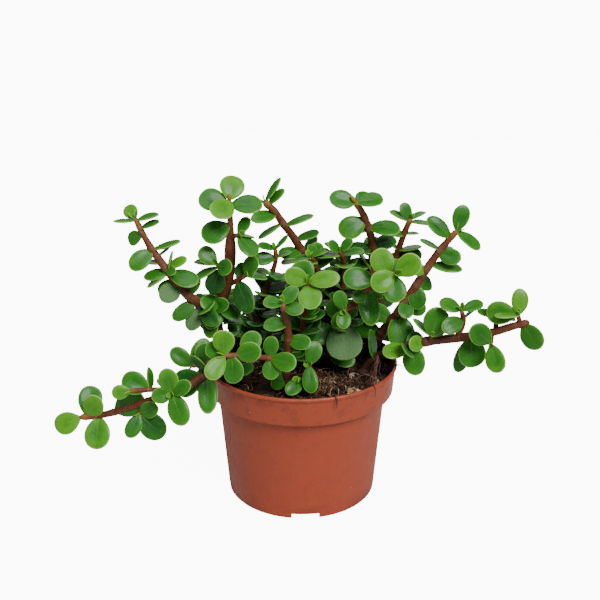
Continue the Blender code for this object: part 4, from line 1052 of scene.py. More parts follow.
def leaf_finish(settings):
    """Fleshy leaf: colour by age, darker in the middle partly as painted shade, a pale edge line
    that partly paints a glow through the rim, a midrib, pale dots that are partly painted glints, a
    dull underside and a waxy gloss.
    """
    made, net, shader = finish("leaf")
    age, chance, face, _ = net.tone()
    flat = net.add("UVMap", uv_map="leaf").outputs[0]
    across, along, _ = net.add("SeparateXYZ", {"Vector": flat}).outputs
    across = net.times(net.minus(across, 0.5), 2.0)
    forward = net.times(net.minus(along, 0.5), 2.0)
    out = net.maths("SQRT", net.plus(net.times(across, across), net.times(forward, forward)))
    patches = net.mottle(150.0, 1.2)
    fine = net.mottle(1700.0, 1.0)
    age_and_shade = net.plus(age, net.times(net.minus(patches, 0.5), 0.22))
    age_and_shade = net.plus(age_and_shade, net.times(net.minus(chance, 0.5), 0.25))
    # Darker towards the middle and paler towards the rim: partly the leaf's own tone, partly
    # painted shade of its dished blade.
    age_and_shade = net.plus(age_and_shade, net.between(out, 0.15, 0.85, -0.16, 0.10))
    colour = net.mixed(net.between(age_and_shade, 0.0, 0.5), settings.old, settings.middle)
    colour = net.mixed(net.between(age_and_shade, 0.5, 1.0), colour, settings.young)
    greyed = net.between(age, 0.0, -0.15)
    colour = net.tinted(colour, settings.bloom, greyed, net.between(fine, 0.0, 0.9, 0.45, 0.95))
    colour = net.mixed(net.between(face, 0.55, 0.25, 0.0, 0.30), colour, UNDERSIDE)
    rib = net.between(net.maths("ABSOLUTE", across), 0.075, 0.01)
    rib = net.times(rib, net.between(forward, 0.75, -0.7))
    colour = net.tinted(colour, settings.margin, rib, 0.15)
    colour = net.tinted(colour, settings.petiole, net.between(along, 0.16, 0.02), 0.75)
    # A pale line round the rim, brighter on young leaves: partly the leaf's own pale margin, partly
    # painted glow of light shining through the thin rim.
    edge = net.times(net.between(out, 0.85, 0.91), net.between(fine, 0.0, 0.7, 0.6, 1.0))
    edge = net.times(edge, net.between(age, 0.1, 0.8, 0.18, 0.75))
    colour = net.mixed(edge, colour, settings.margin)
    # Pale dots, most on old and greyed leaves: partly the leaf's own specks, partly painted glints
    # of reflection.
    dots_and_glints = net.specks(1100.0, 0.24, 0.40)
    colour = net.tinted(colour, LEAF_DOT_AND_GLINT, dots_and_glints, net.between(age, 0.5, -0.1, 0.06, 0.30))
    wax = net.between(patches, 0.2, 0.8, 0.34, 0.44)
    feeds = {
        "Base Color": colour,
        "Roughness": net.plus(wax, net.between(age, 0.0, -0.15, 0.0, 0.22)),
        "Specular IOR Level": 0.16,
        "Coat Weight": net.between(age, -0.1, 0.4, 0.0, 0.12),
        "Coat Roughness": 0.14,
        "Subsurface Weight": 0.12,
        "Subsurface Radius": (0.6, 1.0, 0.2),
        "Subsurface Scale": 0.001,
    }
    net.feeds(shader, feeds)
    relief = net.plus(net.times(patches, 0.7), net.times(fine, 0.10))
    net.bump(shader, net.minus(relief, net.times(rib, 0.5)), 0.00022, 0.7)
    return made


def floor_finish(settings):
    """Plain matte paper, lit from behind where the camera sees it."""
    made, net, shader = finish("studio_floor")
    colour = settings.floor_colour
    grain = net.mixed(net.mottle(14.0, 0.6), colour, shaded(colour, 0.985))
    net.feeds(shader, {"Base Color": grain, "Roughness": 0.9})
    glow = net.add("Emission", {"Color": (1, 1, 1), "Strength": settings.glow})
    lit = net.add("AddShader")
    seen = net.add("MixShader", {"Fac": net.add("LightPath").outputs["Is Camera Ray"]})
    end = net.tree.nodes["Material Output"]
    for source, target in (
        (shader, lit.inputs[0]),
        (glow, lit.inputs[1]),
        (shader, seen.inputs[1]),
        (lit, seen.inputs[2]),
        (seen, end.inputs["Surface"]),
    ):
        net.feed(target, source.outputs[0])
    return made


def placed(name, bm, materials=(), collection=None):
    """The bmesh, in millimetres, as an object in metres."""
    bmesh.ops.transform(bm, matrix=Matrix.Scale(MM, 4), verts=bm.verts)
    mesh = bpy.data.meshes.new(name)
    bm.to_mesh(mesh)
    bm.free()
    for material in materials:
        mesh.materials.append(material)
    made = bpy.data.objects.new(name, mesh)
    (collection or bpy.context.scene.collection).objects.link(made)
    return made


def belongs(piece, slot, *nodes):
    """The piece moves with the plant and stands for these solids; the slot is not used."""
    piece.data.shade_smooth()
    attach(piece, "root")
    if nodes:
        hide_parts(*nodes)


def added(target, source):
    """Puts one bmesh into another."""
    mesh = bpy.data.meshes.new("part")
    source.to_mesh(mesh)
    source.free()
    target.from_mesh(mesh)
    bpy.data.meshes.remove(mesh)


def turned(profile, steps):
    """The (radius, height) points turned about Z, a closed solid if both ends are on the axis."""
    bm = bmesh.new()
    points = [bm.verts.new((radius, 0, height)) for radius, height in profile]
    edges = [bm.edges.new(pair) for pair in zip(points, points[1:])]
    about = {"cent": (0, 0, 0), "axis": (0, 0, 1), "angle": math.tau}
    bmesh.ops.spin(bm, geom=points + edges, steps=steps, use_merge=True, **about)
    bmesh.ops.remove_doubles(bm, verts=bm.verts, dist=1e-4)
    bmesh.ops.recalc_face_normals(bm, faces=bm.faces)
    return bm


def rod(depth, radius, sides):
    """An upright cutter about the origin."""
    bm = bmesh.new()
    ends = {"radius1": radius, "radius2": radius, "depth": depth}
    bmesh.ops.create_cone(bm, cap_ends=True, segments=sides, **ends)
    return bm


def cut(target, cutters):
    """Takes everything in the collection out of the target, for good."""
    opening = target.modifiers.new("cut", "BOOLEAN")
    opening.operation = "DIFFERENCE"
    opening.operand_type = "COLLECTION"
    opening.collection = cutters
    graph = bpy.context.evaluated_depsgraph_get()
    mesh = bpy.data.meshes.new_from_object(target.evaluated_get(graph))
    target.modifiers.clear()
    target.data = mesh
    for cutter in list(cutters.objects):
        bpy.data.objects.remove(cutter)
    bpy.data.collections.remove(cutters)


def pot_profile():
    """The wall's outline as (radius, height), from inside the base round the lip to under it."""
    floor = BASE_UNDERSIDE + WALL
    return (
        (0, floor),
        (FLOOR_RADIUS, floor),
        (BODY_TOP_RADIUS - WALL, SHELF_HEIGHT),
        (COLLAR_FOOT_RADIUS - WALL, SHELF_HEIGHT + EDGE),
        (COLLAR_RADIUS - WALL, POT_HEIGHT - LIP_HEIGHT),
        (RIM_RADIUS - LIP_WIDTH, POT_HEIGHT),
        (RIM_RADIUS - EDGE, POT_HEIGHT),
        (RIM_RADIUS, POT_HEIGHT - EDGE),
        (RIM_RADIUS, POT_HEIGHT - LIP_HEIGHT + EDGE),
        (COLLAR_RADIUS, POT_HEIGHT - LIP_HEIGHT),
        (COLLAR_FOOT_RADIUS, COLLAR_FOOT_HEIGHT + EDGE),
        (COLLAR_FOOT_RADIUS - EDGE, COLLAR_FOOT_HEIGHT),
        (BODY_TOP_RADIUS, COLLAR_FOOT_HEIGHT - EDGE),
        (FOOT_RADIUS, EDGE),
        (FOOT_RADIUS - EDGE, 0),
        (FOOT_RADIUS - FOOT_RING_WIDTH, 0),
        (FOOT_RADIUS - FOOT_RING_WIDTH, BASE_UNDERSIDE),
        (0, BASE_UNDERSIDE),
    )


def pot_cutters():
    """Four notches in the foot and a ring of drain holes."""
    cutters = bpy.data.collections.new("pot_cutters")
    bpy.context.scene.collection.children.link(cutters)
    for quarter in range(4):
        bm = bmesh.new()
        bmesh.ops.create_cube(bm, size=1)
        size = (NOTCH_WIDTH, 3 * FOOT_RING_WIDTH, 2 * NOTCH_HEIGHT)
        bmesh.ops.scale(bm, vec=size, verts=bm.verts)
        bmesh.ops.translate(bm, vec=(0, -(FOOT_RADIUS - FOOT_RING_WIDTH / 2), 0), verts=bm.verts)
        turn = Matrix.Rotation(math.radians(NOTCH_TURN + 90 * quarter), 3, "Z")
        bmesh.ops.rotate(bm, cent=(0, 0, 0), matrix=turn, verts=bm.verts)
        placed(f"notch_{quarter}", bm, collection=cutters)
    for hole in range(DRAIN_HOLES):
        turn = math.tau * (hole + 0.5) / DRAIN_HOLES
        bm = rod(4 * WALL, DRAIN_HOLE_RADIUS, DRAIN_HOLE_STEPS)
        x, y = DRAIN_CIRCLE_RADIUS * math.cos(turn), DRAIN_CIRCLE_RADIUS * math.sin(turn)
        bmesh.ops.translate(bm, vec=(x, y, BASE_UNDERSIDE + WALL / 2), verts=bm.verts)
        placed(f"drain_{hole}", bm, collection=cutters)
    return cutters


def soil_height(x, y):
    """The soil's height without its crumbs."""
    share = math.hypot(x, y) / RIM_RADIUS
    lump = noise.noise(Vector((x, y, 0)) / SOIL_LUMP_SPACING)
    return SOIL_EDGE_HEIGHT + SOIL_MOUND * (1 - share * share) + SOIL_LUMP * lump


def soil_surface(settings):
    """The soil as a plug that fills the pot, with a crumbly top."""
    floor = BASE_UNDERSIDE + WALL + GAP
    rings = [SOIL_RADIUS * ring / SOIL_RINGS for ring in range(SOIL_RINGS + 1)]
    bm = turned(
        (
            *((radius, SOIL_EDGE_HEIGHT) for radius in rings),
            (COLLAR_FOOT_RADIUS - WALL - GAP, SHELF_HEIGHT + EDGE + GAP),
            (BODY_TOP_RADIUS - WALL - GAP, SHELF_HEIGHT + GAP),
            (FLOOR_RADIUS - GAP, floor),
            (0, floor),
        ),
        SOIL_STEPS,
    )
    crumb = settings.crumb / MM
    for point in bm.verts:
        if abs(point.co.z - SOIL_EDGE_HEIGHT) < 0.01:
            x, y = point.co.x, point.co.y
            loose = noise.fractal(Vector((x, y, 3)) / CRUMB_SPACING, 0.6, 2.1, 3)
            pits = noise.noise(Vector((x, y, 9)) / PIT_SPACING)
            point.co.z = soil_height(x, y) + crumb * (CRUMB_SHARE * loose + PIT_SHARE * pits)
    return bm


def chip(draw, size):
    """One irregular crumb of bark or peat."""
    bm = bmesh.new()
    bmesh.ops.create_cube(bm, size=2)
    bmesh.ops.subdivide_edges(bm, edges=bm.edges, cuts=1, use_grid_fill=True)
    form = size * Vector([draw.uniform(*span) for span in CHIP_FORM])
    seed = Vector([draw.uniform(0, NOISE_SPAN) for _ in range(3)])
    for point in bm.verts:
        ball = point.co.normalized()
        uneven = 1 + 0.5 * noise.noise(ball * 1.3 + seed)
        point.co = Vector(part * scale for part, scale in zip(ball * uneven, form))
    turn = Matrix.Rotation(draw.uniform(0, math.tau), 3, "Z")
    turn = turn @ Matrix.Rotation(draw.uniform(-CHIP_TILT, CHIP_TILT), 3, "X")
    bmesh.ops.rotate(bm, cent=(0, 0, 0), matrix=turn, verts=bm.verts)
    return bm


def on_soil(draw, reach):
    """A random place on the soil."""
    out = reach * math.sqrt(draw.random())
    turn = draw.uniform(0, math.tau)
    return out * math.cos(turn), out * math.sin(turn)


def chips(settings):
    """Crumbs all over the soil, most of them small."""
    draw = random.Random(SEED + 1)
    smallest, more = CHIP_SIZE
    lowest, share = CHIP_SEAT
    bm = bmesh.new()
    for _ in range(settings.chips):
        x, y = on_soil(draw, CHIP_REACH)
        size = smallest + more * draw.random() ** 2.2
        one = chip(draw, size)
        rise = soil_height(x, y) + lowest + share * size
        bmesh.ops.translate(one, vec=(x, y, rise), verts=one.verts)
        added(bm, one)
    return bm


def toned(piece, lowest=0.0):
    """The piece, with a tone of its own on each loose bit, from the lowest to 1."""
    draw = random.Random(piece.name)
    bm = bmesh.new()
    bm.from_mesh(piece.data)
    tone = bm.verts.layers.float.new("strand")
    seen = set()
    for start in bm.verts:
        if start in seen:
            continue
        value = draw.uniform(lowest, 1.0)
        seen.add(start)
        queue = [start]
        while queue:
            point = queue.pop()
            point[tone] = value
            linked = [edge.other_vert(point) for edge in point.link_edges]
            queue += [other for other in linked if other not in seen]
            seen.update(linked)
    bm.to_mesh(piece.data)
    bm.free()
    return piece


def strands(name, paths, material):
    """Thin round fibres along these paths, each a list of (point, radius), as one mesh."""
    curve = bpy.data.curves.new(name, "CURVE")
    curve.dimensions = "3D"
    curve.bevel_depth = MM
    curve.bevel_resolution = 1
    curve.use_fill_caps = True
    curve.resolution_u = 3
    for path in paths:
        spline = curve.splines.new("NURBS")
        spline.points.add(len(path) - 1)
        spline.use_endpoint_u = True
        spline.order_u = 4
        for point, (place, radius) in zip(spline.points, path):
            point.co = (*(place * MM), 1)
            point.radius = radius
    guide = bpy.data.objects.new(name + "_guide", curve)
    bpy.context.scene.collection.objects.link(guide)
    graph = bpy.context.evaluated_depsgraph_get()
    mesh = bpy.data.meshes.new_from_object(guide.evaluated_get(graph))
    bpy.data.objects.remove(guide)
    bpy.data.curves.remove(curve)
    mesh.name = name
    mesh.materials.clear()
    mesh.materials.append(material)
    made = bpy.data.objects.new(name, mesh)
    bpy.context.scene.collection.objects.link(made)
    return toned(made)


def lying_fibre(draw, start, length, radius, lift, curl):
    """A bent fibre that lies on the soil and comes off it a little in the middle."""
    x, y = start
    heading = draw.uniform(0, math.tau)
    bend = draw.uniform(-curl, curl)
    wander = draw.uniform(0, NOISE_SPAN)
    path = []
    for step in range(FIBRE_STEPS):
        share = step / (FIBRE_STEPS - 1)
        swing = FIBRE_WANDER * noise.noise(Vector((wander, step * 0.7, 0)))
        heading += bend / FIBRE_STEPS + swing
        x += math.cos(heading) * length / FIBRE_STEPS
        y += math.sin(heading) * length / FIBRE_STEPS
        out = math.hypot(x, y)
        if out > FIBRE_LIMIT:
            x, y = x * FIBRE_LIMIT / out, y * FIBRE_LIMIT / out
        wave = FIBRE_WANDER * noise.noise(Vector((wander, 5, step * 0.9)))
        rise = max(lift * math.sin(math.pi * share) + wave, FIBRE_DIP)
        z = soil_height(x, y) + FIBRE_SEAT + rise
        path.append((Vector((x, y, z)), radius * (1 - FIBRE_TAPER * share)))
    return path


def fibres(seed, number, lengths, radii, lift, curl):
    """Fibres all over the soil."""
    draw = random.Random(seed)
    found = []
    for _ in range(number):
        start = on_soil(draw, FIBRE_REACH)
        length, radius = draw.uniform(*lengths), draw.uniform(*radii)
        found.append(lying_fibre(draw, start, length, radius, lift * draw.random() ** 2, curl))
    return found


def lip_fibres():
    for radius, points in LIP_FIBRES:
        radii = [radius * (1 - LIP_FIBRE_TAPER * number) for number in range(len(points))]
        yield list(zip(map(Vector, points), radii))


def root_tuft(draw):
    """Wavy roots that spread a little on their way down."""
    noise.seed_set(SEED)  # the noise vector's offsets follow the clock until they are seeded
    for _ in range(TUFT_ROOTS):
        spread = Vector([draw.uniform(*span) for span in TUFT_SPREAD])
        wander = draw.uniform(0, NOISE_SPAN)
        radius = draw.uniform(*TUFT_RADIUS)
        path = []
        for step in range(FIBRE_STEPS):
            share = step / (FIBRE_STEPS - 1)
            loose = noise.noise_vector(Vector((wander, step * 0.9, 0))) * TUFT_WAVE
            loose = loose * share * (1.2 - share)
            place = Vector(TUFT_TOP).lerp(Vector(TUFT_FOOT), share) + spread * share**1.3 + loose
            path.append((place, radius * (1 - TUFT_TAPER * share)))
        yield path


def shavings(draw, number, heap):
    """Short curled shavings in a loose heap."""
    for _ in range(number):
        x, y = (
            middle + side * max(min(draw.gauss(0, 0.45), 1), -1) for middle, side in zip(*heap)
        )
        length, radius = draw.uniform(*SHAVING_LENGTH), draw.uniform(*SHAVING_RADIUS)
        lift = SHAVING_LIFT * draw.random()
        yield lying_fibre(draw, (x, y), length, radius, lift, SHAVING_CURL)


def lump(draw):
    """A beige lump of crumbs."""
    bm = bmesh.new()
    for _ in range(LUMP_CHIPS):
        out, turn = LUMP_REACH * math.sqrt(draw.random()), draw.uniform(0, math.tau)
        x, y = LUMP_MIDDLE[0] + out * math.cos(turn), LUMP_MIDDLE[1] + out * math.sin(turn)
        one = chip(draw, draw.uniform(*LUMP_CHIP_SIZE))
        rise = soil_height(x, y) + draw.uniform(0, LUMP_HEIGHT) * (1 - out / LUMP_REACH)
        bmesh.ops.translate(one, vec=(x, y, rise + LUMP_RISE), verts=one.verts)
        added(bm, one)
    return bm


@dataclass(frozen=True)
class Station:
    """One place on a stem: its centre, the ways along and across it, its radius and its place."""

    point: Vector
    along: Vector
    across: Vector
    radius: float
    place: float

    def matrix(self):
        third = self.along.cross(self.across)
        turn = Matrix((self.across, third, self.along)).transposed()
        return Matrix.Translation(self.point) @ turn.to_4x4()

    def corner(self, turn):
        return self.matrix() @ (self.radius * Vector((math.cos(turn), math.sin(turn), 0)))


class Stem:
    """A shoot's smooth centre line as stations."""

    def __init__(self, shoot):
        self.shoot = shoot
        places = [
            span + step / STATIONS_PER_SPAN
            for span in range(len(shoot.route) - 1)
            for step in range(STATIONS_PER_SPAN)
        ] + [len(shoot.route) - 1.0]
        points = [self.route_point(place) for place in places]
        if shoot.rooted:
            down = (points[0] - points[1]).normalized()
            points = [points[0] + down * ROOT_DEPTH] + points
            places = [-1.0] + places
        lengths = [0.0]
        for a, b in zip(points, points[1:]):
            lengths.append(lengths[-1] + (b - a).length)
        across = Vector((0, -1, 0))
        self.stations = []
        last = len(points) - 1
        for number, point in enumerate(points):
            before, after = points[max(number - 1, 0)], points[min(number + 1, last)]
            along = (after - before).normalized()
            across = (across - along * across.dot(along)).normalized()
            share = lengths[number] / lengths[-1]
            girth = numpy.interp(share, numpy.linspace(0, 1, len(shoot.girth)), shoot.girth)
            self.stations.append(Station(point, along, across, float(girth) / 2, places[number]))
        self.lengths = lengths

    def route_point(self, place):
        """A point on the smooth curve through the route's points."""
        route = [Vector(point) for point in self.shoot.route]
        span = min(int(place), len(route) - 2)
        share = place - span
        b, c = route[span], route[span + 1]
        a = route[span - 1] if span else 2 * b - c
        d = route[span + 2] if span + 2 < len(route) else 2 * c - b
        bend = 2 * a - 5 * b + 4 * c - d
        twist = 3 * b - a - 3 * c + d
        return 0.5 * (2 * b + (c - a) * share + bend * share**2 + twist * share**3)

    def at(self, place):
        return min(self.stations, key=lambda station: abs(station.place - place))


@dataclass(frozen=True)
class Blade:
    """One leaf: where it starts, the way it points, the way its upper face looks, and its form."""

    base: Vector
    along: Vector
    up: Vector
    length: float
    width: float
    wedge: float
    fold: float
    curl: float

    def nudged(self, pitch, yaw, roll, size):
        """The same leaf turned a little about its own axes, in degrees, and scaled."""
        side = self.along.cross(self.up)
        turn = (
            Quaternion(side, math.radians(pitch))
            @ Quaternion(self.up, math.radians(yaw))
            @ Quaternion(self.along, math.radians(roll))
        )
        length, width = self.length * size, self.width * size
        return replace(self, along=turn @ self.along, up=turn @ self.up, length=length, width=width)

    def fullness(self, along):
        """The share of an oval's width that the leaf has here: a narrow neck, a round blade."""
        steps = numpy.linspace(0, 1, 41)
        oval = numpy.sqrt(1 - (2 * steps - 1) ** 2)

        def narrowed(share):
            return (1 - (1 - share) ** NECK) * share**self.wedge

        return narrowed(along) / (oval * narrowed(steps)).max()

    def bent(self, across, rise):
        """The rise with this leaf's fold in it, for points this far across."""
        fold = math.tan(math.radians(self.fold))
        return rise + (numpy.hypot(across, SOFT_FOLD) - SOFT_FOLD) * fold

    def seated(self, across, reach, rise):
        """Points on and about the leaf's own axes, as points about the pot."""
        axes = numpy.array([tuple(self.along.cross(self.up)), tuple(self.along), tuple(self.up)])
        return numpy.stack([across, reach, rise], axis=1) @ axes + numpy.array(tuple(self.base))

    def shaped(self, sphere, margin):
        """Points of a unit ball (x across, y along, z up) pushed into the form of this leaf."""
        along = numpy.clip((sphere[:, 1] + 1) / 2, 0, 1)
        across = sphere[:, 0] * (self.width / 2 + margin) * self.fullness(along)
        reach = along * (self.length + margin)
        rise = self.bent(across, sphere[:, 2] * (LEAF_THICKNESS * self.length / 2 + margin))
        return self.seated(across, reach, rise + self.curl * self.length * along**2)


def unit_ball(sides, rings):
    """Its points and faces."""
    bm = bmesh.new()
    bmesh.ops.create_uvsphere(bm, u_segments=sides, v_segments=rings, radius=1)
    points = numpy.array([tuple(vert.co) for vert in bm.verts])
    faces = [[vert.index for vert in face.verts] for face in bm.faces]
    bm.free()
    return points, faces


def nudges():
    """Small turns and scales to try, the least change first."""
    found = [
        (pitch, yaw, roll, size)
        for pitch in (0, -10, 10, -20, 20, -32, 32)
        for yaw in (0, -10, 10, -20, 20)
        for roll in (0, -20, 20)
        for size in (1.0, 0.9, 0.8)
    ]

    def change(nudge):
        pitch, yaw, roll, size = nudge
        turns = abs(pitch) + abs(yaw) + abs(roll) / 2
        return turns + SHRINKING_COST * (1 - size), nudge

    return sorted(found, key=change)[:NUDGES]


@dataclass(frozen=True)
class Taken:
    """Space already used: a sphere about it, and its surface without and with its root."""

    middle: Vector
    radius: float
    outer: BVHTree
    whole: BVHTree
    stem: Stem
    is_leaf: bool


class Crown:
    """Settles leaves one by one, each clear of the pot, the soil and what is there before it."""

    def __init__(self, stems):
        self.sphere, self.faces = unit_ball(TEST_SIDES, TEST_RINGS)
        self.past_root = (self.sphere[:, 1] + 1) / 2 > ROOT_SHARE
        self.outer_faces = [face for face in self.faces if self.past_root[face].all()]
        self.nudges = nudges()
        self.taken = [run for stem in stems for run in self.stem_runs(stem)]

    def stem_runs(self, stem):
        for a, b in zip(stem.stations, stem.stations[1:]):
            turns = [math.tau * side / STEM_SIDES for side in range(STEM_SIDES)]
            corners = [station.corner(turn) for station in (a, b) for turn in turns]
            sides = [(side, (side + 1) % STEM_SIDES) for side in range(STEM_SIDES)]
            faces = [(first, last, STEM_SIDES + last, STEM_SIDES + first) for first, last in sides]
            tree = BVHTree.FromPolygons(corners, faces)
            reach = (a.point - b.point).length / 2 + a.radius
            yield Taken((a.point + b.point) / 2, reach, tree, tree, stem, False)

    def space(self, blade, stem, margin):
        """The leaf's points past its root, and the space that it takes."""
        points = blade.shaped(self.sphere, margin)
        middle = points.mean(axis=0)
        radius = float(numpy.linalg.norm(points - middle, axis=1).max())
        outer = BVHTree.FromPolygons(points.tolist(), self.outer_faces)
        whole = BVHTree.FromPolygons(points.tolist(), self.faces)
        return points[self.past_root], Taken(Vector(middle), radius, outer, whole, stem, True)

    def meets(self, blade, stem, margin):
        """Whether the leaf is in the pot or the soil, or in what is already there."""
        points, space = self.space(blade, stem, margin)
        out = numpy.hypot(points[:, 0], points[:, 1])
        floor = numpy.where(out < INSIDE_RIM, OVER_THE_SOIL, OVER_THE_RIM)
        if ((out < CLEAR_OF_RIM) & (points[:, 2] < floor)).any():
            return True
        for other in self.taken:
            if (space.middle - other.middle).length > space.radius + other.radius:
                continue
            if other.stem.shoot.cutting != stem.shoot.cutting:
                if space.whole.overlap(other.whole):
                    return True
            elif (other.is_leaf or other.stem is not stem) and space.outer.overlap(other.outer):
                return True
        return False

    def settle(self, blade, stem, margin):
        """The leaf, nudged clear of what is already there, or None where there is no room."""
        for nudge in self.nudges:
            trial = blade.nudged(*nudge)
            if not self.meets(trial, stem, margin):
                self.taken.append(self.space(trial, stem, 0)[1])
                return trial
        return None


def rooted_blade(station, along, up, length, width, draw):
    """A leaf that shows this length outside its stem and starts well inside it."""
    base = station.point - (along * LEAF_START + station.along * NODE_START) * station.radius
    length += station.radius * (1 + LEAF_START)
    form = draw.uniform(*OUTLINE_WEDGE), draw.uniform(*LEAF_FOLD), draw.uniform(*LEAF_CURL)
    return Blade(base, along, up, length, width, *form)


def seen_leaf(stem, row, draw):
    """A leaf from a table row."""
    place, heading, lean, length, width, turn = row[: len(LEAF_ROW)]
    heading, lean, turn = math.radians(heading), math.radians(lean), math.radians(turn)
    flat = math.cos(heading) * VIEW_RIGHT + math.sin(heading) * VIEW_UP
    along = math.cos(lean) * flat + math.sin(lean) * VIEW_TOWARDS
    facing = (VIEW_TOWARDS - along * VIEW_TOWARDS.dot(along)).normalized()
    skyward = along.cross(facing)
    if 2 * skyward.z + skyward.x < 0:
        skyward.negate()
    up = math.cos(turn) * facing + math.sin(turn) * skyward
    return rooted_blade(stem.at(place), along, up, length, width, draw)


def mate(blade, stem, place, draw):
    """The other leaf of a pair, across the stem."""
    station = stem.at(place)
    turn = Quaternion(station.along, math.pi)
    length = blade.length - station.radius * (1 + LEAF_START)
    return rooted_blade(station, turn @ blade.along, turn @ blade.up, length, blade.width, draw)


def spread_out(station, roll, lean):
    """The ways that a leaf by rule points and looks, on this side of the stem."""
    out = Quaternion(station.along, roll) @ station.across
    along = math.sin(lean) * out + math.cos(lean) * station.along
    up = station.along + SKYWARD * Vector((0, 0, 1))
    return along, (up - along * up.dot(along)).normalized()


def ruled_leaves(stem, draw):
    """Pairs that stand crosswise to the pair before, spread wide at the root, close at the tip."""
    if not stem.shoot.pairs:
        return
    first, last, number, first_length, last_length, first_roll = stem.shoot.pairs
    for pair in range(number):
        share = pair / (number - 1)
        place = first + (last - first) * share
        station = stem.at(place)
        closeness = place / (len(stem.shoot.route) - 1)
        spread = math.radians(SPREAD_AT_ROOT + (SPREAD_AT_TIP - SPREAD_AT_ROOT) * closeness)
        length = first_length + (last_length - first_length) * share
        roll = math.radians(first_roll + 90 * pair + draw.uniform(*ROLL_SCATTER))
        for side in (0, math.pi):
            lean = spread + math.radians(draw.uniform(*LEAN_SCATTER))
            size = length * draw.uniform(*SIZE_SCATTER)
            width = size * draw.uniform(*WIDTH_SCATTER)
            yield rooted_blade(station, *spread_out(station, roll + side, lean), size, width, draw)


def leaf_cage(groove):
    """The unit leaf before it is smoothed: a round slab with a groove along its upper face."""
    bm = bmesh.new()
    bmesh.ops.create_grid(bm, x_segments=CAGE_CELLS, y_segments=CAGE_CELLS, size=1)
    bmesh.ops.solidify(bm, geom=bm.faces[:], thickness=0.5)
    flat = bm.loops.layers.uv.new("leaf")
    bm.verts.layers.float_color.new("tone")
    upper = max(point.co.z for point in bm.verts) - 0.1
    edge, dome = CAGE_HEIGHT
    for point in bm.verts:
        x, y = point.co.x, point.co.y
        side = 1 if point.co.z > upper else -1
        round_x, round_y = x * math.sqrt(1 - y * y / 2), y * math.sqrt(1 - x * x / 2)
        out = math.hypot(round_x, round_y)
        height = math.sqrt(max(1 - out**4, 0)) * dome + edge
        if side > 0 and abs(x) < 0.1 and out < 0.9:
            height -= groove
        point.co = (round_x, round_y, side * height)
    bmesh.ops.recalc_face_normals(bm, faces=bm.faces)
    for face in bm.faces:
        for corner in face.loops:
            corner[flat].uv = (corner.vert.co.x / 2 + 0.5, corner.vert.co.y / 2 + 0.5)
    mesh = bpy.data.meshes.new("leaf_cage")
    bm.to_mesh(mesh)
    bm.free()
    return mesh


@dataclass(frozen=True)
class Leaf:
    """A settled leaf: its stem, its blade and its age, from 0 for old to 1 for young."""

    stem: Stem
    blade: Blade
    age: float


def leaf_age(stem, row):
    for age, rows in LEAF_AGES.items():
        if row[:2] in rows.get(stem.shoot.cutting, ()):
            return age
    return MIDDLE_AGE


def ruled_age(blade):
    """Leaves low in the crown are old and dark, those high up or far out are fresher."""
    low, height = RULED_AGE_HEIGHTS
    near, reach = RULED_AGE_REACHES
    lowest, highest = RULED_AGE_LIMITS
    out = math.hypot(blade.base.x, blade.base.y)
    age = RULED_AGE + (blade.base.z - low) / height + max(out - near, 0) / reach
    return min(max(age, lowest), highest)


def grow(stems):
    """Every leaf. Those that show settle first, then their mates, then the rest."""
    crown = Crown(stems)
    draw = random.Random(SEED)
    grown = []
    mates = []
    for stem in stems:
        for row in stem.shoot.leaves:
            blade = crown.settle(seen_leaf(stem, row, draw), stem, SEEN_CLEARANCE)
            if not blade:
                continue
            grown.append(Leaf(stem, blade, leaf_age(stem, row)))
            if len(row) > len(LEAF_ROW):
                mates.append((stem, mate(blade, stem, row[0], draw)))
    for stem in stems:
        mates.extend((stem, blade) for blade in ruled_leaves(stem, draw))
    for stem, wanted in mates:
        blade = crown.settle(wanted, stem, CLEARANCE)
        if blade:
            grown.append(Leaf(stem, blade, ruled_age(blade)))
    return grown + inner_leaves(stems, crown)


def in_shade(point):
    """Whether a point lies in the dense middle of the crown, behind the open soil at the front."""
    if point.y < OPEN_SOIL_DEPTH and point.z < OPEN_SOIL_HEIGHT:
        return False
    for shade in SHADES:
        off = Vector((here - middle) / reach for here, middle, reach in zip(point, *shade))
        if off.length_squared < 1:
            return True
    return False


def inner_leaves(stems, crown):
    """Leaves on the stems in the middle of the crown, wherever there is still room, dark old ones
    that partly paint the shade there.
    """
    draw = random.Random(SEED + 5)
    found = []
    for _ in range(INNER_TRIES):
        stem = draw.choice(stems)
        station = draw.choice(stem.stations[1:])
        roll = draw.uniform(0, math.tau)
        axes = spread_out(station, roll, math.radians(draw.uniform(*INNER_LEAN)))
        length = draw.uniform(*INNER_LENGTH)
        width = length * draw.uniform(*INNER_WIDTH)
        blade = rooted_blade(station, *axes, length, width, draw)
        middle = blade.base + blade.along * blade.length * INNER_MIDDLE
        if in_shade(middle) and not crown.meets(blade, stem, INNER_CLEARANCE):
            crown.taken.append(crown.space(blade, stem, 0)[1])
            found.append(Leaf(stem, blade, draw.uniform(*INNER_AGE_AND_SHADE)))
    return found


def leaf_points(blade, cage, draw):
    """The cage's points in the form of this leaf, a little larger than it will be smoothed."""
    across = cage[:, 0] * CAGE_SWELL
    along = (cage[:, 1] * CAGE_SWELL + 1) / 2
    inside = numpy.clip(along, 0.02, 0.995)
    width = across * blade.width / 2 * blade.fullness(inside)
    skew = draw.uniform(-SKEW, SKEW)
    width += skew * blade.width * (1 - across**2) * inside
    rise = cage[:, 2] * LEAF_THICKNESS * blade.length / 2
    neck, more = NECK_THICKNESS
    rise = blade.bent(width, rise * (neck + more * numpy.clip(along * 3, 0, 1)))
    rise += blade.curl * blade.length * along**2
    wave, phase = draw.uniform(0, WAVE), draw.uniform(0, math.tau)
    ripple = numpy.sin(3 * numpy.arctan2(across, cage[:, 1]) + phase)
    rise += wave * blade.length * ripple * across**2
    return blade.seated(width, along * blade.length, rise)


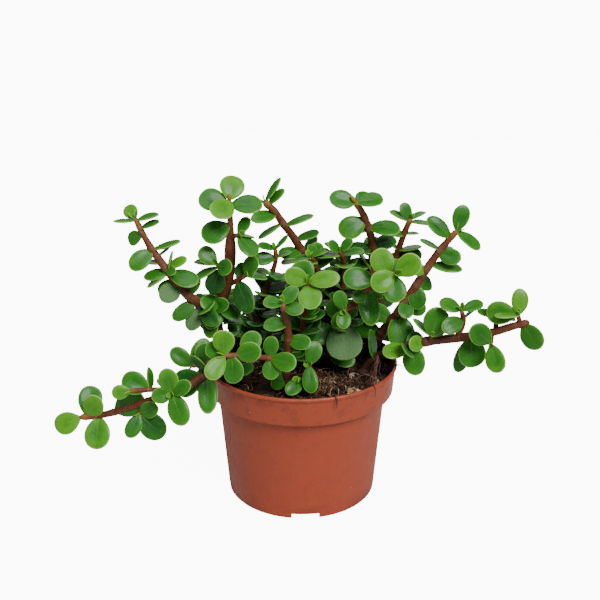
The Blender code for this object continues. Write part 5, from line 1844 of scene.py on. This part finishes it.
def leafy_mesh():
    """An empty mesh with the layers that leaves and bark share."""
    bm = bmesh.new()
    bm.verts.layers.float_color.new("tone")
    bm.loops.layers.uv.new("leaf")
    return bm


def barked(bm):
    """The mesh with the second material all over."""
    for face in bm.faces:
        face.material_index = BARK_SLOT
    return bm


def add_leaf(bm, cage, leaf, draw):
    """Puts the cage into the mesh in the form and age of this leaf."""
    first = len(bm.verts)
    bm.from_mesh(cage)
    bm.verts.ensure_lookup_table()
    tone = bm.verts.layers.float_color["tone"]
    new = bm.verts[first:]
    form = numpy.array([tuple(point.co) for point in new])
    chance = draw.random()
    for point, place, shape in zip(new, leaf_points(leaf.blade, form, draw), form):
        point.co = place
        point[tone] = (leaf.age, chance, 1.0 if shape[2] > 0 else 0.0, 1.0)


def node_places(stem):
    """Where leaves join this stem, as places along its route."""
    found = {row[0] for row in stem.shoot.leaves}
    if stem.shoot.pairs:
        first, last, number = stem.shoot.pairs[:3]
        found |= {first + (last - first) * pair / (number - 1) for pair in range(number)}
    return sorted(found)


def stem_bark(stem, settings, chance):
    """The stem as a round tube, thicker where leaves join it, closed by a narrow end."""
    bm = leafy_mesh()
    tone = bm.verts.layers.float_color["tone"]
    nodes = node_places(stem)
    stations = stem.stations
    radius = stations[0].radius * TUBE_SWELL
    bmesh.ops.create_cone(
        bm,
        cap_ends=True,
        segments=settings.sides,
        radius1=radius,
        radius2=radius,
        depth=END_DEPTH,
        matrix=stations[0].matrix(),
    )
    for point in bm.verts:
        point[tone] = (0, chance, 0, 0)
    top = max(bm.faces, key=lambda face: face.calc_center_median().dot(stations[0].along))
    was = 1.0
    buried = ROOT_DEPTH if stem.shoot.rooted else 0
    for before, after, length in zip(stations, stations[1:], stem.lengths[1:]):
        near = min((abs(after.place - place) for place in nodes), default=9)
        knot = math.exp(-((near / KNOT_REACH) ** 2))
        now = 1 + settings.swelling * knot + UNEVENNESS * noise.noise(after.point / UNEVEN_SPACING)
        if after is stations[-1]:
            now = BUD_SHARE
        size = after.radius / before.radius * now / was
        top = bmesh.ops.extrude_discrete_faces(bm, faces=[top])["faces"][0]
        move = after.matrix() @ Matrix.Scale(size, 4) @ before.matrix().inverted()
        bmesh.ops.transform(bm, matrix=move, verts=top.verts)
        age = max(length - buried, 0) / (stem.lengths[-1] - buried)
        if not stem.shoot.rooted:
            age = SIDE_SHOOT_AGE[0] + SIDE_SHOOT_AGE[1] * age
        if cut_off(stem):
            age *= CUT_STEM_AGE
        for point in top.verts:
            point[tone] = (age, chance, knot, length / 100)
        was = now
    return barked(bm)


def cut_off(stem):
    """Whether this stem ends in a bare cut."""
    return stem.shoot.rooted and stem.shoot.cutting in CUT_ENDS


def bud(stem):
    """The swollen bud on the end of the stem."""
    width, length = BUDS[stem.shoot.cutting]
    bm = leafy_mesh()
    tone = bm.verts.layers.float_color["tone"]
    bmesh.ops.create_uvsphere(bm, u_segments=8, v_segments=5, radius=0.5)
    for point in bm.verts:
        point[tone] = (1.1 + 0.1 * point.co.z, 0.5, 0.0, 0.0)
    form = Matrix.Diagonal((width, width * 0.8, length, 1))
    form = Matrix.Translation((0, 0, length * 0.3)) @ form
    bmesh.ops.transform(bm, matrix=stem.stations[-1].matrix() @ form, verts=bm.verts)
    return barked(bm)


def tip_leaves(stem, draw):
    """The two small new leaves that close the end of a shoot."""
    station = stem.stations[-1]
    roll = draw.uniform(0, math.pi)
    spread = math.radians(draw.uniform(*TIP_SPREAD))
    length = draw.uniform(*TIP_LENGTH)
    base = station.point - station.along * TIP_DEPTH
    for side in (0, math.pi):
        out = Quaternion(station.along, roll + side) @ station.across
        along = (math.sin(spread) * out + math.cos(spread) * station.along).normalized()
        up = (station.along - along * along.dot(station.along)).normalized()
        blade = Blade(base, along, up, length + TIP_DEPTH, length * TIP_WIDTH, *TIP_FORM)
        yield Leaf(stem, blade, TIP_AGE)


def clothed(name, stems, grown, cage, settings, draw):
    """One cutting with its bark and its leaves."""
    bm = leafy_mesh()
    for leaf in grown:
        if leaf.stem.shoot.cutting == name:
            add_leaf(bm, cage, leaf, draw)
    for stem in stems:
        if stem.shoot.cutting != name:
            continue
        if stem.shoot.rooted and name in BUDS:
            added(bm, bud(stem))
        elif not cut_off(stem):
            for leaf in tip_leaves(stem, draw):
                add_leaf(bm, cage, leaf, draw)
        added(bm, stem_bark(stem, settings.stems, draw.random()))
    return bm


class BUSH_OT_pot(bpy.types.Operator):
    """Make the plastic pot with its lip, collar, foot notches and drain holes."""

    bl_idname = "bush.pot"
    bl_label = "Make pot"

    def execute(self, context):
        settings = context.scene.elephant_bush.pot
        wall = turned(pot_profile(), settings.steps)
        pot = placed("nursery_pot", wall, [plastic_finish(settings)])
        cut(pot, pot_cutters())
        belongs(pot, "pot_plastic", "pot")
        rounded = pot.modifiers.new("moulded_edges", "BEVEL")
        rounded.width = settings.edge
        rounded.segments = 2
        rounded.limit_method = "ANGLE"
        rounded.angle_limit = MOULDED_ANGLE
        rounded.harden_normals = True
        return {"FINISHED"}


class BUSH_OT_soil(bpy.types.Operator):
    """Fill the pot with crumbly soil and scatter bark and peat on it."""

    bl_idname = "bush.soil"
    bl_label = "Make soil"

    def execute(self, context):
        settings = context.scene.elephant_bush.soil
        damp, peat = soil_finish("damp_soil", settings, 0.55), soil_finish("peat", settings, 1.0)
        belongs(placed("soil_fill", soil_surface(settings), [damp]), "potting_soil", "soil")
        belongs(placed("peat_crumbs", chips(settings), [peat]), "potting_soil")
        return {"FINISHED"}


class BUSH_OT_fibres(bpy.types.Operator):
    """Lay coir fibres and fine roots on the soil and over the lip."""

    bl_idname = "bush.fibres"
    bl_label = "Lay fibres"

    def execute(self, context):
        settings = context.scene.elephant_bush.soil
        brown = fibre_finish("brown_coir", settings.coir, shaded(settings.coir, 1.9))
        straw = fibre_finish("straw", settings.straw, shaded(settings.straw, 0.55))
        root = fibre_finish("root_skin", *ROOT_COLOURS)
        draw = random.Random(SEED + 6)
        dark = fibres(SEED + 2, settings.dark_fibres, *DARK_FIBRES)
        dark += shavings(draw, settings.shreds, SHREDS_HEAP)
        belongs(strands("coir_fibres", dark, brown), "potting_soil")
        pale = fibres(SEED + 3, settings.pale_fibres, *PALE_FIBRES)
        pale += shavings(draw, settings.shavings, SHAVINGS_HEAP)
        belongs(strands("straw_fibres", pale, straw), "potting_soil")
        roots = [*lip_fibres(), *root_tuft(draw)]
        belongs(strands("roots_and_lip_fibres", roots, root), "potting_soil")
        beige = fibre_finish("beige_bark", *BEIGE_COLOURS)
        belongs(toned(placed("beige_lump", lump(draw), [beige]), 0.6), "potting_soil")
        return {"FINISHED"}


class BUSH_OT_cuttings(bpy.types.Operator):
    """Make every cutting: bark, leaves and the new leaves at its tips."""

    bl_idname = "bush.cuttings"
    bl_label = "Make cuttings"

    def execute(self, context):
        settings = context.scene.elephant_bush
        stems = [Stem(shoot) for shoot in SHOOTS]
        grown = grow(stems)
        cage = leaf_cage(settings.leaves.groove)
        finishes = [leaf_finish(settings.leaves), bark_finish(settings.stems)]
        draw = random.Random(SEED + 4)
        for name in CUTTINGS:
            bm = clothed(name, stems, grown, cage, settings, draw)
            piece = placed(name + "_leafy", bm, finishes)
            belongs(piece, "leaves_and_stems", name)
            softened = piece.modifiers.new("smoothing", "SUBSURF")
            softened.levels = softened.render_levels = settings.leaves.levels
        bpy.data.meshes.remove(cage)
        return {"FINISHED"}


class BUSH_OT_stage(bpy.types.Operator):
    """Set out the floor, the soft lights and the camera."""

    bl_idname = "bush.stage"
    bl_label = "Set the stage"

    def execute(self, context):
        settings = context.scene.elephant_bush.stage
        bm = bmesh.new()
        bmesh.ops.create_grid(bm, x_segments=1, y_segments=1, size=settings.floor_size / 2 / MM)
        floor = placed("studio_floor", bm, [floor_finish(settings)])
        floor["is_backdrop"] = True
        sun = aimed(bpy.data.lights.new("main_light", "SUN"), MAIN_LIGHT_PLACE, settings.sun)
        sun.angle = settings.spread
        for name, (place, side) in SOFTBOXES.items():
            light = bpy.data.lights.new(f"{name}_light", "AREA")
            aimed(light, place, getattr(settings, name)).size = side
        world = bpy.data.worlds.new("pale_studio")
        world.use_nodes = True
        net = Network(world.node_tree)
        air = world.node_tree.nodes["Background"]
        air.inputs["Color"].default_value = (1, 1, 1, 1)
        seen = net.add("LightPath").outputs["Is Camera Ray"]
        net.feed(air.inputs["Strength"], net.plus(net.times(seen, settings.glow), settings.sky))
        context.scene.world = world
        lens = bpy.data.cameras.new("camera")
        lens.lens = LENS
        lens.sensor_width = SENSOR
        eye = bpy.data.objects.new("camera", lens)
        eye.location = CAMERA_PLACE
        eye.rotation_euler = (CAMERA_TILT, 0, 0)
        context.scene.collection.objects.link(eye)
        bpy.context.scene.camera = eye
        return {"FINISHED"}


def aimed(light, place, energy):
    """The light at this place, looking at the middle of the plant."""
    light.energy = energy
    made = bpy.data.objects.new(light.name, light)
    made.location = place
    made.rotation_euler = (Vector(AIM) - Vector(place)).to_track_quat("-Z", "Y").to_euler()
    bpy.context.scene.collection.objects.link(made)
    return light


STEPS = (
    (BUSH_OT_pot, ("pot",)),
    (BUSH_OT_soil, ("soil",)),
    (BUSH_OT_fibres, ()),
    (BUSH_OT_cuttings, ("leaves", "stems")),
    (BUSH_OT_stage, ("stage",)),
)


class BUSH_PT_panel(bpy.types.Panel):
    """Lists the steps in the order they run, each with its sizes and colours."""

    bl_idname = "BUSH_PT_panel"
    bl_label = "Elephant Bush"
    bl_space_type = "VIEW_3D"
    bl_region_type = "UI"
    bl_category = "Elephant Bush"

    def draw(self, context):
        settings = context.scene.elephant_bush
        for operator, groups in STEPS:
            box = self.layout.box()
            box.operator(operator.bl_idname)
            for group in groups:
                values = getattr(settings, group)
                for name in values.__annotations__:
                    box.prop(values, name)


CLASSES = (
    PotSettings,
    SoilSettings,
    StemSettings,
    LeafSettings,
    StageSettings,
    BushSettings,
    *(operator for operator, _ in STEPS),
    BUSH_PT_panel,
)


def register():
    for made in CLASSES:
        bpy.utils.register_class(made)
    bpy.types.Scene.elephant_bush = bpy.props.PointerProperty(type=BushSettings)


def unregister():
    del bpy.types.Scene.elephant_bush
    for made in reversed(CLASSES):
        bpy.utils.unregister_class(made)


def corners():
    """The whole object's box as plain lists."""
    return [[float(value) for value in corner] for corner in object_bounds()]


def main():
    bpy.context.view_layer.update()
    register()
    bpy.ops.bush.pot()
    bpy.ops.bush.soil()
    bpy.ops.bush.fibres()
    bpy.ops.bush.cuttings()
    bpy.ops.bush.stage()


if __name__ == "__main__":
    main()
